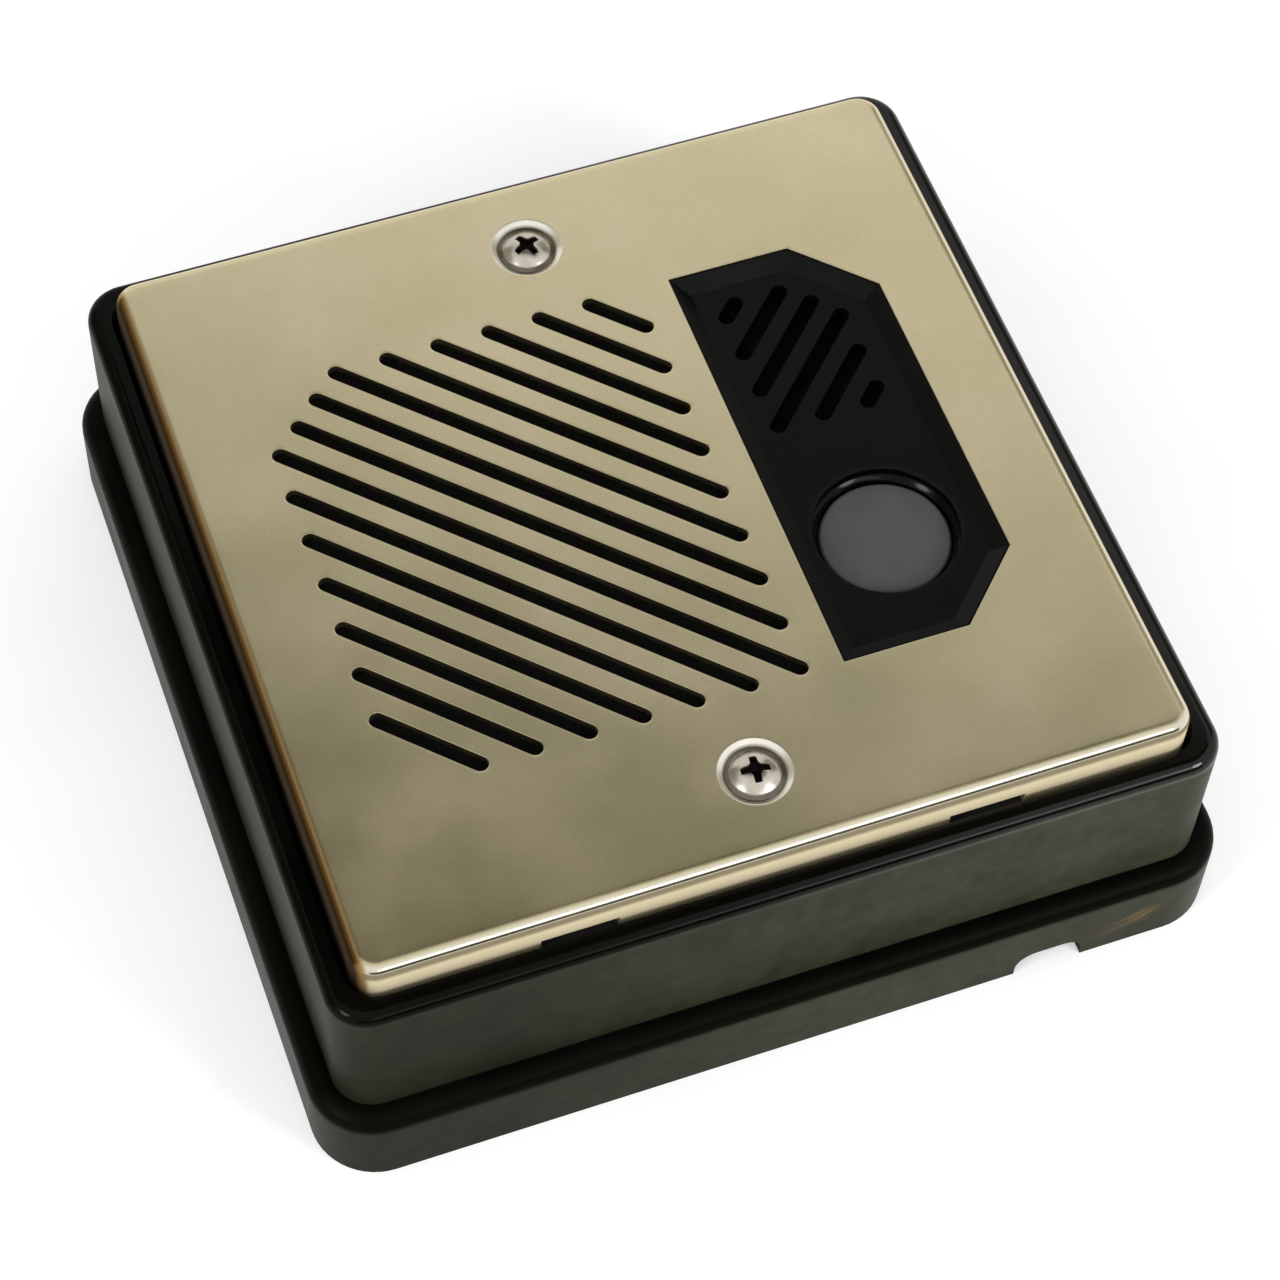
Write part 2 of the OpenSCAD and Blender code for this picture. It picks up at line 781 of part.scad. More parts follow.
// Call button, its spring and its switch
module call_button() {
    color(grey) at_button(0) rotate_extrude() {
        difference() {
            union() {
                translate([0, flange_foot_z])
                    edge_section(button_r, button_z - flange_foot_z, button_edge);
                translate([0, flange_foot_z]) square([flange_r, flange_t]);
            }
            translate([0, flange_foot_z - over])
                square([button_r - button_wall, button_z - button_wall - flange_foot_z + over]);
        }
        translate([0, stem_foot_z]) square([stem_r, button_z - button_wall / 2 - stem_foot_z]);
    }
}

function helix(r, z0, z1, turns) =
    [for (i = [0 : 8 * turns]) [r * cos(45 * i), r * sin(45 * i), z0 + (z1 - z0) * i / (8 * turns)]];

// Least gap between the wires of neighbouring turns, measured from point to point
function turn_gap(p, wire) =
    min([for (i = [0 : len(p) - 1], j = [i + 6 : 1 : len(p) - 1]) norm(p[j] - p[i])]) - wire;

module button_spring() {
    wire_r = spring_wire / 2;
    path = helix(spring_r, board_top_z + wire_r + fit_gap, flange_foot_z - wire_r - fit_gap, spring_turns);
    echo(least_spring_gap = turn_gap(path, spring_wire));
    color(zinc) at_button(0) bar_along(path, wire_r, 6);
}

module switch_body() {
    color(black) at_button(board_top_z) difference() {
        linear_extrude(switch_h) round_square(switch_size / 2, 1);
        translate([0, 0, switch_floor_t]) cylinder(h = switch_h, r = plunger_r + run_gap);
    }
}

module switch_plunger() {
    foot_z = switch_top_z - plunger_hidden;
    color(rubber) at_button(0) translate([0, 0, foot_z]) cylinder(h = stem_foot_z - foot_z, r = plunger_r);
}

// Circuit board and what is on it
module circuit_board() {
    color("darkgreen") translate([0, 0, board_back_z]) linear_extrude(board_t) difference() {
        window_shape(panel_lap - board_rim);
        for (p = posts) translate(p) circle(board_screw_r + stud_gap);
    }
}

module board_screws() {
    color(zinc) for (p = posts) translate([p[0], p[1], board_back_z - board_head_h]) {
        cylinder(h = board_head_h, r = board_head_r);
        cylinder(h = board_head_h + board_t + board_screw_len - over, r = board_screw_r);
    }
}

module amplifier_chip() {
    chip_y = 4;
    chip = [10, 6.4, 2];
    legs = 8;
    leg_pitch = 1.27;
    leg = [0.4, 10, 1];
    color(black) translate([control_x, chip_y, board_back_z]) {
        translate([-chip[0] / 2, -chip[1] / 2, -chip[2]]) cube(chip);
        for (i = [0 : legs - 1])
            translate([(i - (legs - 1) / 2) * leg_pitch - leg[0] / 2, -leg[1] / 2, -leg[2]]) cube(leg);
    }
}

module capacitors() {
    can_r = 4;
    can_h = 11;
    can_step = 12;
    can_y = -12;
    can_edge = 0.6;
    color([0.1, 0.12, 0.2]) for (s = [-1, 1])
        translate([control_x + s * can_step / 2, can_y, board_back_z]) mirror([0, 0, 1])
            rotate_extrude() edge_section(can_r, can_h, can_edge);
}

module terminal_block() {
    foot_z = board_back_z - block_h;
    color("seagreen") difference() {
        translate([block_x - block_w / 2, block_y - block_depth / 2, foot_z])
            cube([block_w, block_depth, block_h]);
        for (x = terminals) {
            translate([x, block_y, foot_z - over])
                cylinder(h = chamber_z - foot_z + 2 * over, r = terminal_well_r);
            translate([x - chamber_w / 2, block_y - block_depth / 2 - over, chamber_z])
                cube([chamber_w, chamber_len + over, chamber_h]);
        }
    }
}

module terminal_screws() {
    head_z = board_back_z - block_h + terminal_sunk;
    cut = 0.6;
    color(zinc) for (x = terminals) translate([x, block_y, head_z]) difference() {
        union() {
            cylinder(h = terminal_head_h, r = terminal_head_r);
            cylinder(h = clamp_plate_z - head_z, r = terminal_thread_r);
        }
        translate([-terminal_head_r - over, -cut / 2, -over])
            cube([2 * terminal_head_r + 2 * over, cut, over + cut]);
    }
}

module terminal_clamps() {
    front = chamber_len / 3;
    rear = 1.5;
    color(brass) for (x = terminals)
        translate([x - chamber_w / 2 + fit_gap, block_y - front, clamp_plate_z])
            cube([chamber_w - 2 * fit_gap, front + rear, clamp_plate_t]);
}

// Speaker
module speaker_cloth() {
    color(black) at_speaker() translate([0, 0, cloth_z]) linear_extrude(cloth_t)
        square([field_w + 2 * cloth_rim, field_h + 2 * cloth_rim], center = true);
}

module speaker_gasket() {
    color(rubber) at_speaker() translate([0, 0, rim_top_z]) linear_extrude(speaker_gasket_t) difference() {
        circle(speaker_r);
        circle(speaker_r - gasket_ring_w);
    }
}

module speaker_frame() {
    windows = 4;
    window_angle = 56;
    window_rim = 1;
    color(zinc) at_speaker() difference() {
        rotate_extrude() polygon([
            [basket_top_r, rim_top_z], [speaker_r, rim_top_z], [speaker_r, rim_foot_z],
            [basket_top_r + frame_t, rim_foot_z], [basket_seat_r, basket_foot_z],
            [basket_hole_r, basket_foot_z], [basket_hole_r, spider_z],
            [basket_seat_r - frame_t, spider_z], [basket_top_r, rim_foot_z]
        ]);
        for (i = [0 : windows - 1]) rotate(360 * (i + 0.5) / windows - window_angle / 2)
            rotate_extrude(angle = window_angle) translate([basket_seat_r + window_rim, basket_foot_z])
                square([
                    basket_top_r - basket_seat_r - 2 * window_rim, basket_h - frame_t - window_rim / 2
                ]);
    }
}

// Rolled edge between the cone and the frame
module cone_surround() {
    color(rubber) at_speaker() rotate_extrude() translate([0, rim_top_z]) {
        translate([0, run_gap]) intersection() {
            translate([roll_x, 0]) difference() {
                circle(surround_roll_r + surround_t);
                circle(surround_roll_r);
            }
            square([speaker_r, speaker_r]);
        }
        translate([roll_x + surround_roll_r, 0]) square([surround_t + surround_lap, surround_t]);
        translate([roll_x - surround_roll_r - surround_t - surround_lap, run_gap])
            square([surround_t + surround_lap + fit_gap, surround_t]);
    }
}

module speaker_cone() {
    color([0.2, 0.2, 0.2]) at_speaker() rotate_extrude() polygon([
        [cone_r, rim_top_z], [cone_r - cone_lap, rim_top_z],
        [neck_r, cone_neck_z], [neck_r, cone_neck_z - cone_t],
        [cone_r - cone_lap, rim_top_z - cone_t], [cone_r, rim_top_z - cone_t]
    ]);
}

module dust_cap() {
    ball_r = (cap_r * cap_r + cap_h * cap_h) / (2 * cap_h);
    color(black) at_speaker() rotate_extrude() translate([0, cap_z + fit_gap]) intersection() {
        translate([0, cap_h - ball_r]) difference() {
            circle(ball_r, $fn = 128);
            circle(ball_r - cap_t, $fn = 128);
        }
        square([cap_r, cap_h + over]);
    }
}

module voice_coil() {
    color(brass) at_speaker() translate([0, 0, coil_foot_z]) difference() {
        cylinder(h = cone_neck_z - coil_foot_z, r = coil_r);
        translate([0, 0, -over]) cylinder(h = cone_neck_z - coil_foot_z + 2 * over, r = coil_r - coil_t);
    }
}

// Corrugated disc that stands on the frame with its outer edge
module cone_spider() {
    inner = coil_r + run_gap;
    outer = basket_seat_r - frame_t - spider_lift;
    folds = 8;
    knots = [for (i = [0 : folds]) [
        inner + (outer - inner) * i / folds,
        i == folds ? 0 : spider_lift + i % 2 * spider_wave
    ]];
    upper = [for (i = [folds : -1 : 0]) knots[i] + [0, spider_t]];
    color([0.7, 0.6, 0.35]) at_speaker() translate([0, 0, spider_z])
        rotate_extrude() polygon(concat(knots, upper));
}

module ring_part(r, hole_r, z, h) {
    translate([0, 0, z]) difference() {
        cylinder(h = h, r = r);
        translate([0, 0, -over]) cylinder(h = h + 2 * over, r = hole_r);
    }
}

module magnet_washer() {
    color(zinc) at_speaker() ring_part(washer_r, coil_r + coil_gap, washer_foot_z, washer_t);
}

module speaker_magnet() {
    color([0.2, 0.2, 0.22]) at_speaker() ring_part(magnet_r, magnet_hole_r, magnet_foot_z, magnet_h);
}

module magnet_yoke() {
    pole_len = basket_foot_z - magnet_foot_z + yoke_t;
    color(zinc) at_speaker() translate([0, 0, magnet_foot_z - yoke_t]) difference() {
        union() {
            cylinder(h = yoke_t, r = yoke_r);
            cylinder(h = pole_len, r = pole_r);
        }
        translate([0, 0, -over]) cylinder(h = pole_len + 2 * over, r = vent_r);
    }
}

module speaker_tags() {
    strip_z = rim_foot_z - tag_strip_t;
    strip_d = 3.2;
    tag = [0.5, 2, tag_len];
    color([0.5, 0.35, 0.2]) translate([tag_x - strip_d / 2, -tag_strip_w / 2, strip_z])
        cube([strip_d, tag_strip_w, tag_strip_t]);
    color(zinc) for (s = [-1, 1])
        translate([tag_x - tag[0] / 2, s * tag_step / 2 - tag[1] / 2, strip_z - tag_len])
            cube([tag[0], tag[1], tag_len + tag_strip_t / 2]);
}

// Two wires from the tags to the board's front
module speaker_leads() {
    tag_foot_z = rim_foot_z - tag_strip_t - tag_len;
    pad_x = window_left - panel_lap + board_rim + 2;
    low_z = board_top_z + 1.6;
    color([0.7, 0.1, 0.1]) for (s = [-1, 1]) translate([0, s * tag_step / 2, 0]) bar_along([
        [tag_x, 0, tag_foot_z - fit_gap], [tag_x, 0, tag_foot_z - 1], [tag_x + 0.8, 0, low_z + 0.4],
        [tag_x + 2.4, 0, low_z], [pad_x - 1.2, 0, low_z], [pad_x - 0.3, 0, low_z - 0.5],
        [pad_x, 0, board_top_z + 0.6], [pad_x, 0, board_top_z + fit_gap]
    ], lead_r, 8);
}

module speaker_clamps() {
    toe_y = speaker_r - clamp_toe;
    color(zinc) for (q = [0, 1]) mirror([0, q, 0]) difference() {
        translate([speaker_x - clamp_w / 2, 0, 0]) rotate([90, 0, 90]) linear_extrude(clamp_w) polygon([
            [clamp_knee_y + clamp_foot, sheet_z], [clamp_knee_y, sheet_z],
            [clamp_knee_y, rim_foot_z], [toe_y, rim_foot_z],
            [toe_y, rim_foot_z - clamp_t], [clamp_knee_y + clamp_t, rim_foot_z - clamp_t],
            [clamp_knee_y + clamp_t, sheet_z - clamp_t], [clamp_knee_y + clamp_foot, sheet_z - clamp_t]
        ]);
        for (x = [-1, 1]) translate([speaker_x + x * clamp_stud_x, clamp_stud_y, sheet_z - clamp_t - over])
            cylinder(h = clamp_t + 2 * over, d = stud_d + 2 * stud_gap);
    }
}

module clamp_nuts() {
    color(zinc) at_clamp_studs() nut(sheet_z - clamp_t);
}

back_box();
cable_grommet();
screw_inserts();
plate_gasket();
face_plate();
plate_screws();
weld_studs();
insert_gasket();
insert_panel();
insert_nuts();
mic_foam();
mic_boot();
mic_capsule();
call_button();
button_spring();
switch_body();
switch_plunger();
circuit_board();
board_screws();
amplifier_chip();
capacitors();
terminal_block();
terminal_screws();
terminal_clamps();
speaker_cloth();
speaker_gasket();
speaker_frame();
cone_surround();
speaker_cone();
dust_cap();
voice_coil();
cone_spider();
magnet_washer();
speaker_magnet();
magnet_yoke();
speaker_tags();
speaker_leads();
speaker_clamps();
clamp_nuts();
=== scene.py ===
"""Looks of a square door intercom station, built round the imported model.

The station lies on its back on a pale floor: +Z points out of its face and +Y up the wall.
Sizes are written in millimetres and become metres where meshes, lamps and the camera are made.
"""

import math

import bmesh
import bpy
from mathutils import Matrix, Vector
from mathutils.geometry import tessellate_polygon


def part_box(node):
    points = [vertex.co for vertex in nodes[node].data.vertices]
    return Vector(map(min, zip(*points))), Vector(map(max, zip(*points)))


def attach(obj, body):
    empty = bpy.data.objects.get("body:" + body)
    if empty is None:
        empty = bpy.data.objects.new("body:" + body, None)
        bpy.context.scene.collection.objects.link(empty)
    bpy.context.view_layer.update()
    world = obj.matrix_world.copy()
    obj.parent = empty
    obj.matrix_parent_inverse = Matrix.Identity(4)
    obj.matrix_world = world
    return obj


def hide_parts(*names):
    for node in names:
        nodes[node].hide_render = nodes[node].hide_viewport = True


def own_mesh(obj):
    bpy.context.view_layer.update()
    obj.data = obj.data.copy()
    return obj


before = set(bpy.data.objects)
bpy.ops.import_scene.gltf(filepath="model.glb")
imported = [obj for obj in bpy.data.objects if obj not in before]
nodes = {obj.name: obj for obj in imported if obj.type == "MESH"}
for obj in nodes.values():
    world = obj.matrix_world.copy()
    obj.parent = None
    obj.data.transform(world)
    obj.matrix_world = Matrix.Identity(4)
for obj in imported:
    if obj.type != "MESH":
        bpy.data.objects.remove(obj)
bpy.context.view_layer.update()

MM = 0.001


def box_mm(node):
    """Lowest and highest corner of a node, in millimetres."""
    low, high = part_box(node)
    return low / MM, high / MM


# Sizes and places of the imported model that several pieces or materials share
plate_low, plate_high = box_mm("face_plate")
face_z = plate_high.z
plate_half = plate_high.x
plate_foot_z = plate_low.z
plate_t = 1.2
sheet_z = face_z - plate_t
screw_y = 45.15
speaker_x = -16.1
control_x = 30.5
button_y = -14.8
well_r = 10.0
box_front_y = -64.4
box_rim_z = 37.2
skirt_z = 13.7
cable_notch_x = 37.9
board_top_z = 28.0


# Camera, at the photograph's place
def toward(azimuth, elevation):
    """Unit vector to a place round the station: azimuth 0 is in front of its lower edge."""
    a, e = math.radians(azimuth), math.radians(elevation)
    return Vector((math.sin(a) * math.cos(e), -math.cos(a) * math.cos(e), math.sin(e)))


def turned_to(back, roll=0.0):
    """Rotation whose local Z points along back, then turned about it."""
    return back.to_track_quat("Z", "Y").to_matrix() @ Matrix.Rotation(math.radians(roll), 3, "Z")


def put(obj, place, rotation):
    """Sets an object's place and turn, and links it to the scene."""
    obj.matrix_world = Matrix.Translation(place) @ rotation.to_4x4()
    bpy.context.scene.collection.objects.link(obj)
    return obj


aim = Vector((-4.66, -15.50, 31.34)) * MM
camera_back = toward(-22.404, 57.239)
camera_roll = 3.018
camera_distance = 0.47618
camera_data = bpy.data.cameras.new("camera")
camera_data.lens = 99.84
camera_data.sensor_width = 36
camera_data.clip_start = 0.01
camera = bpy.data.objects.new("camera", camera_data)
put(camera, aim + camera_back * camera_distance, turned_to(camera_back, camera_roll))
bpy.context.scene.camera = camera


# Meshes
class Shape:
    """Points in millimetres and faces, gathered loop by loop."""

    def __init__(self):
        self.points = []
        self.faces = []

    def loop(self, points):
        start = len(self.points)
        self.points += [Vector(p) for p in points]
        return list(range(start, len(self.points)))

    def band(self, a, b, closed=True, skip=()):
        """Quads between two loops of the same length."""
        count = len(a)
        for i in range(count if closed else count - 1):
            if i not in skip:
                j = (i + 1) % count
                self.faces.append((a[i], a[j], b[j], b[i]))

    def bands(self, loops, closed=True):
        for a, b in zip(loops, loops[1:]):
            self.band(a, b, closed)

    def fill(self, *loops):
        """Flat face with the first loop as its outline and the others as holes."""
        index = [i for loop in loops for i in loop]
        for triangle in tessellate_polygon([[self.points[i] for i in loop] for loop in loops]):
            self.faces.append(tuple(index[i] for i in triangle))

    def cap(self, loop):
        self.faces.append(tuple(loop))

    def lathe(self, profile, centre, steps=96):
        """Turns a list of (radius, height) about a vertical axis, and returns its loops."""
        x, y = centre
        turn = [2 * math.pi * k / steps for k in range(steps)]
        loops = [
            self.loop([(x + r * math.cos(a), y + r * math.sin(a), z) for a in turn])
            for r, z in profile
        ]
        self.bands(loops)
        return loops

    def tube(self, path, radius, sides=12):
        """Round bar along a list of points, with flat ends."""
        path = [Vector(p) for p in path]
        loops = []
        side = None
        for i, p in enumerate(path):
            ahead = (path[min(i + 1, len(path) - 1)] - path[max(i - 1, 0)]).normalized()
            if side is None:
                side = ahead.orthogonal().normalized()
            side = (side - ahead * side.dot(ahead)).normalized()
            other = ahead.cross(side)
            loops.append(
                self.loop(
                    p + radius * (math.cos(a) * side + math.sin(a) * other)
                    for a in (2 * math.pi * k / sides for k in range(sides))
                )
            )
        self.bands(loops)
        self.cap(loops[0][::-1])
        self.cap(loops[-1])

    def build(self, name, angle=35):
        """Makes the object; large faces set the shading of the points that they share."""
        mesh = bpy.data.meshes.new(name)
        mesh.from_pydata([p * MM for p in self.points], [], self.faces)
        obj = bpy.data.objects.new(name, mesh)
        bpy.context.scene.collection.objects.link(obj)
        tidy_mesh(mesh, angle)
        weigh = obj.modifiers.new("weigh", "WEIGHTED_NORMAL")
        weigh.weight = 100
        weigh.keep_sharp = True
        return obj


def tidy_mesh(mesh, angle):
    """Joins doubled points, turns all faces outwards and shades smooth up to an angle."""
    work = bmesh.new()
    work.from_mesh(mesh)
    bmesh.ops.remove_doubles(work, verts=work.verts, dist=1e-7)
    bmesh.ops.dissolve_degenerate(work, edges=work.edges, dist=1e-8)
    bmesh.ops.recalc_face_normals(work, faces=work.faces)
    work.to_mesh(mesh)
    work.free()
    mesh.polygons.foreach_set("use_smooth", [True] * len(mesh.polygons))
    mesh.set_sharp_from_angle(angle=math.radians(angle))
    mesh.update()


def arc(centre, radius, start, end, steps):
    """Points of an arc, with both ends."""
    for k in range(steps + 1):
        a = math.radians(start + (end - start) * k / steps)
        yield centre[0] + radius * math.cos(a), centre[1] + radius * math.sin(a)


def at_height(points, z):
    """Flat points, lifted to a height."""
    return [(x, y, z) for x, y in points]


# Materials
class Shade:
    """Node material with one principled shader, whose patterns are sized in millimetres."""

    def __init__(self, name, **values):
        self.material = bpy.data.materials.new(name)
        self.material.use_nodes = True
        self.tree = self.material.node_tree
        self.shader = self.tree.nodes["Principled BSDF"]
        self.coords = self.add("TexCoord").outputs["Object"]
        for key, value in values.items():
            self.shader.inputs[key.replace("_", " ")].default_value = value

    def add(self, kind, inputs=None, **settings):
        node = self.tree.nodes.new("ShaderNode" + kind)
        for key, value in settings.items():
            setattr(node, key, value)
        for key, value in (inputs or {}).items():
            if isinstance(value, bpy.types.NodeSocket):
                self.tree.links.new(value, node.inputs[key])
            else:
                node.inputs[key].default_value = value
        return node

    def set(self, key, socket):
        self.tree.links.new(socket, self.shader.inputs[key])

    def spot(self, size, stretch=(1, 1, 1), turn=(0, 0, 0), place=(0, 0, 0)):
        """Coordinates in which one unit is the pattern's size, drawn out along each axis."""
        return self.add(
            "Mapping",
            {
                "Vector": self.coords,
                "Location": [p * MM for p in place],
                "Rotation": [math.radians(t) for t in turn],
                "Scale": [size * s * MM for s in stretch],
            },
            vector_type="TEXTURE",
        ).outputs[0]

    def noise(self, size, stretch=(1, 1, 1), detail=3.0, turn=(0, 0, 0)):
        spot = self.spot(size, stretch, turn)
        return self.add("TexNoise", {"Vector": spot, "Scale": 1.0, "Detail": detail}).outputs[0]

    def cells(self, size, feature="F1"):
        inputs = {"Vector": self.spot(size), "Scale": 1.0}
        return self.add("TexVoronoi", inputs, feature=feature).outputs["Distance"]

    def math(self, operation, a, b):
        return self.add("Math", {0: a, 1: b}, operation=operation).outputs[0]

    def positive(self, value):
        return self.add("Math", {0: value}, operation="ABSOLUTE").outputs[0]

    def length(self, vector):
        return self.add("VectorMath", {0: vector}, operation="LENGTH").outputs["Value"]

    def xyz(self, vector):
        return self.add("SeparateXYZ", {0: vector}).outputs

    def plus(self, a, b, share):
        """The first number and a share of the second."""
        return self.math("ADD", a, self.math("MULTIPLY", b, share))

    def mixed(self, a, b, share):
        """Mean of two patterns, of which the first has the given share."""
        return self.plus(self.math("MULTIPLY", a, share), b, 1 - share)

    def ramp(self, factor, low, high, start=0.0, end=1.0):
        """Number that goes from start to end while the factor goes from low to high."""
        inputs = {
            "Value": factor, "From Min": low, "From Max": high, "To Min": start, "To Max": end,
        }
        return self.add("MapRange", inputs, interpolation_type="SMOOTHSTEP").outputs[0]

    def along(self, axis, low, high, start=0.0, end=1.0):
        """Number that goes from start to end between two places on an axis, in millimetres."""
        place = self.xyz(self.coords)["XYZ".index(axis)]
        return self.ramp(place, low * MM, high * MM, start, end)

    def from_screws(self, z=None):
        """Millimetres from the nearer plate screw's axis, or from a point on it at a height."""
        x, y, height = self.xyz(self.coords)
        along = self.math("SUBTRACT", self.positive(y), screw_y * MM)
        up = 0.0 if z is None else self.math("SUBTRACT", height, z * MM)
        spot = self.add("CombineXYZ", {0: x, 1: along, 2: up}).outputs[0]
        return self.math("DIVIDE", self.length(spot), MM)

    def colours(self, factor, dark, light, low=0.3, high=0.7):
        ramp = self.add("ValToRGB", {"Fac": factor})
        first, last = ramp.color_ramp.elements
        first.position, first.color = low, (*dark, 1)
        last.position, last.color = high, (*light, 1)
        return ramp.outputs["Color"]

    def blend(self, factor, a, b):
        """Mix of two colours, each a socket or three numbers."""
        node = self.add("Mix", data_type="RGBA")
        sockets = node.inputs[0], node.inputs[6], node.inputs[7]
        for socket, value in zip(sockets, (factor, a, b)):
            if isinstance(value, bpy.types.NodeSocket):
                self.tree.links.new(value, socket)
            else:
                socket.default_value = (*value, 1)
        return node.outputs[2]

    def bump(self, *layers):
        """Relief from pairs of a pattern and its depth in millimetres, one over another."""
        normal = None
        for height, depth in layers:
            inputs = {"Strength": 1.0, "Distance": depth * MM, "Height": height}
            if normal is not None:
                inputs["Normal"] = normal
            normal = self.add("Bump", inputs).outputs[0]
        self.set("Normal", normal)

    def on(self, *objects):
        for obj in objects:
            obj.data.materials.clear()
            obj.data.materials.append(self.material)


def metal(name, dark, light, rough, grain, stretch=(1, 1, 1), depth=0.002, blotch=6.0):
    """Bare or plated metal: fine drawn grain, with cloudy tone and gloss."""
    shade = Shade(name, Metallic=1.0)
    lines = shade.noise(grain, stretch, 2.0)
    cloud = shade.noise(blotch, detail=4.0)
    shade.set("Base Color", shade.colours(cloud, dark, light))
    shade.set("Roughness", shade.ramp(shade.mixed(lines, cloud, 0.6), 0.3, 0.7, *rough))
    shade.bump((lines, depth))
    return shade


def plastic(name, dark, light, rough, grain, depth, blotch=9.0, **values):
    """Moulded plastic or rubber: fine surface grain, slight tone and worn gloss."""
    shade = Shade(name, **values)
    fine = shade.noise(grain, detail=2.0)
    cloud = shade.noise(blotch, detail=5.0)
    shade.set("Base Color", shade.colours(cloud, dark, light))
    shade.set("Roughness", shade.ramp(cloud, 0.3, 0.7, *rough))
    shade.bump((fine, depth))
    return shade


def plate_metal():
    """Satin warm metal with cloudy tarnish, a bright bend and a matt turned edge.

    The turned edge is painted dark along its top, as painted shade. The left edge is painted
    brown, and almost black at its outside, as a painted reflection. The screws' dimples are
    painted bright, as a painted highlight, and darker at their feet, as soiling and painted shade.
    """
    shade = Shade("plate_metal", Specular_Tint=(0.86, 0.75, 0.6, 1))
    brush = shade.noise(0.1, (30, 1, 1), 2.0)
    sheet = shade.noise(45, detail=1.0)
    cloud = shade.noise(22, detail=4.0)
    speck = shade.noise(0.5, detail=2.0)
    tone = shade.mixed(cloud, speck, 0.8)
    face = shade.colours(tone, (0.57, 0.508, 0.306), (0.735, 0.643, 0.428))

    x, y, _ = shade.xyz(shade.coords)
    out = shade.math("MAXIMUM", shade.positive(x), shade.positive(y))
    border = shade.ramp(out, (plate_half - 2.1) * MM, (plate_half - 1.5) * MM)
    below = shade.math("MULTIPLY", border, shade.along("Z", face_z - 0.08, face_z - 0.3))
    worn = shade.blend(below, face, (0.72, 0.675, 0.545))
    turned = shade.math("MULTIPLY", border, shade.along("Z", face_z - 0.78, face_z - 1.05))
    # The turned edge is painted dark along its top, fading to its pale tone lower down: painted
    # shade.
    down = shade.along("Z", face_z - 1.4, face_z - 2.5)
    return_painted_dark_top = shade.blend(down, (0.3, 0.25, 0.15), (0.92, 0.8, 0.53))
    rim = shade.blend(turned, worn, return_painted_dark_top)

    # The left edge is painted brown, then almost black at its outside: a painted reflection.
    brown = shade.along("X", 1.95 - plate_half, 1.1 - plate_half)
    black = shade.along("X", 1.15 - plate_half, 0.3 - plate_half)
    with_painted_left_reflection = shade.blend(brown, rim, (0.33, 0.2, 0.075))
    edge = shade.blend(black, with_painted_left_reflection, (0.02, 0.009, 0.0025))

    axis = shade.from_screws()
    # A pale ring is painted on each dimple's outer slope: a painted highlight.
    pressed = shade.blend(shade.ramp(axis, 4.85, 5.12, 1.0, 0.0), edge, (0.9, 0.872, 0.772))
    # A darker ring is painted at each dimple's foot, round the screw head: part soiling, part
    # painted shade.
    dirt_and_painted_shade = shade.ramp(axis, 4.0, 4.5, 0.85, 0.0)
    shade.set("Base Color", shade.blend(dirt_and_painted_shade, pressed, (0.1, 0.085, 0.05)))
    shade.set("Metallic", shade.ramp(turned, 0.0, 1.0, 1.0, 0.2))
    satin = shade.ramp(shade.math("ADD", brush, cloud), 0.7, 1.3, 0.29, 0.36)
    bright = shade.math("MULTIPLY", shade.ramp(below, 0.0, 1.0, 1.0, 0.5), satin)
    shade.set("Roughness", shade.plus(bright, turned, 0.6))
    shade.bump((sheet, 0.16), (brush, 0.0008))
    return shade


def screw_metal(dome_z, dome_r):
    """Plated steel, with painted shade at the brim, and soiling and painted shade in the recess,
    which lies under the dome's sphere.
    """
    shade = Shade("screw_metal", Metallic=1.0)
    cloud = shade.noise(1.4, detail=4.0)
    bright = shade.colours(cloud, (0.49, 0.452, 0.38), (0.62, 0.577, 0.495))
    # The recess is painted almost black: part soiling, part painted shade.
    grime_and_painted_shade = shade.ramp(shade.from_screws(dome_z), dome_r - 0.3, dome_r - 0.06, 1.0, 0.0)
    # The head's brim is painted dark: painted shade.
    brim = shade.ramp(shade.from_screws(), 3.2, 3.5, 0.0, 0.9)
    head = shade.blend(brim, bright, (0.12, 0.106, 0.074))
    shade.set("Base Color", shade.blend(grime_and_painted_shade, head, (0.012, 0.009, 0.007)))
    gloss = shade.ramp(cloud, 0.3, 0.7, 0.22, 0.3)
    shade.set("Roughness", shade.plus(gloss, grime_and_painted_shade, 0.5))
    shade.bump((cloud, 0.004))
    return shade


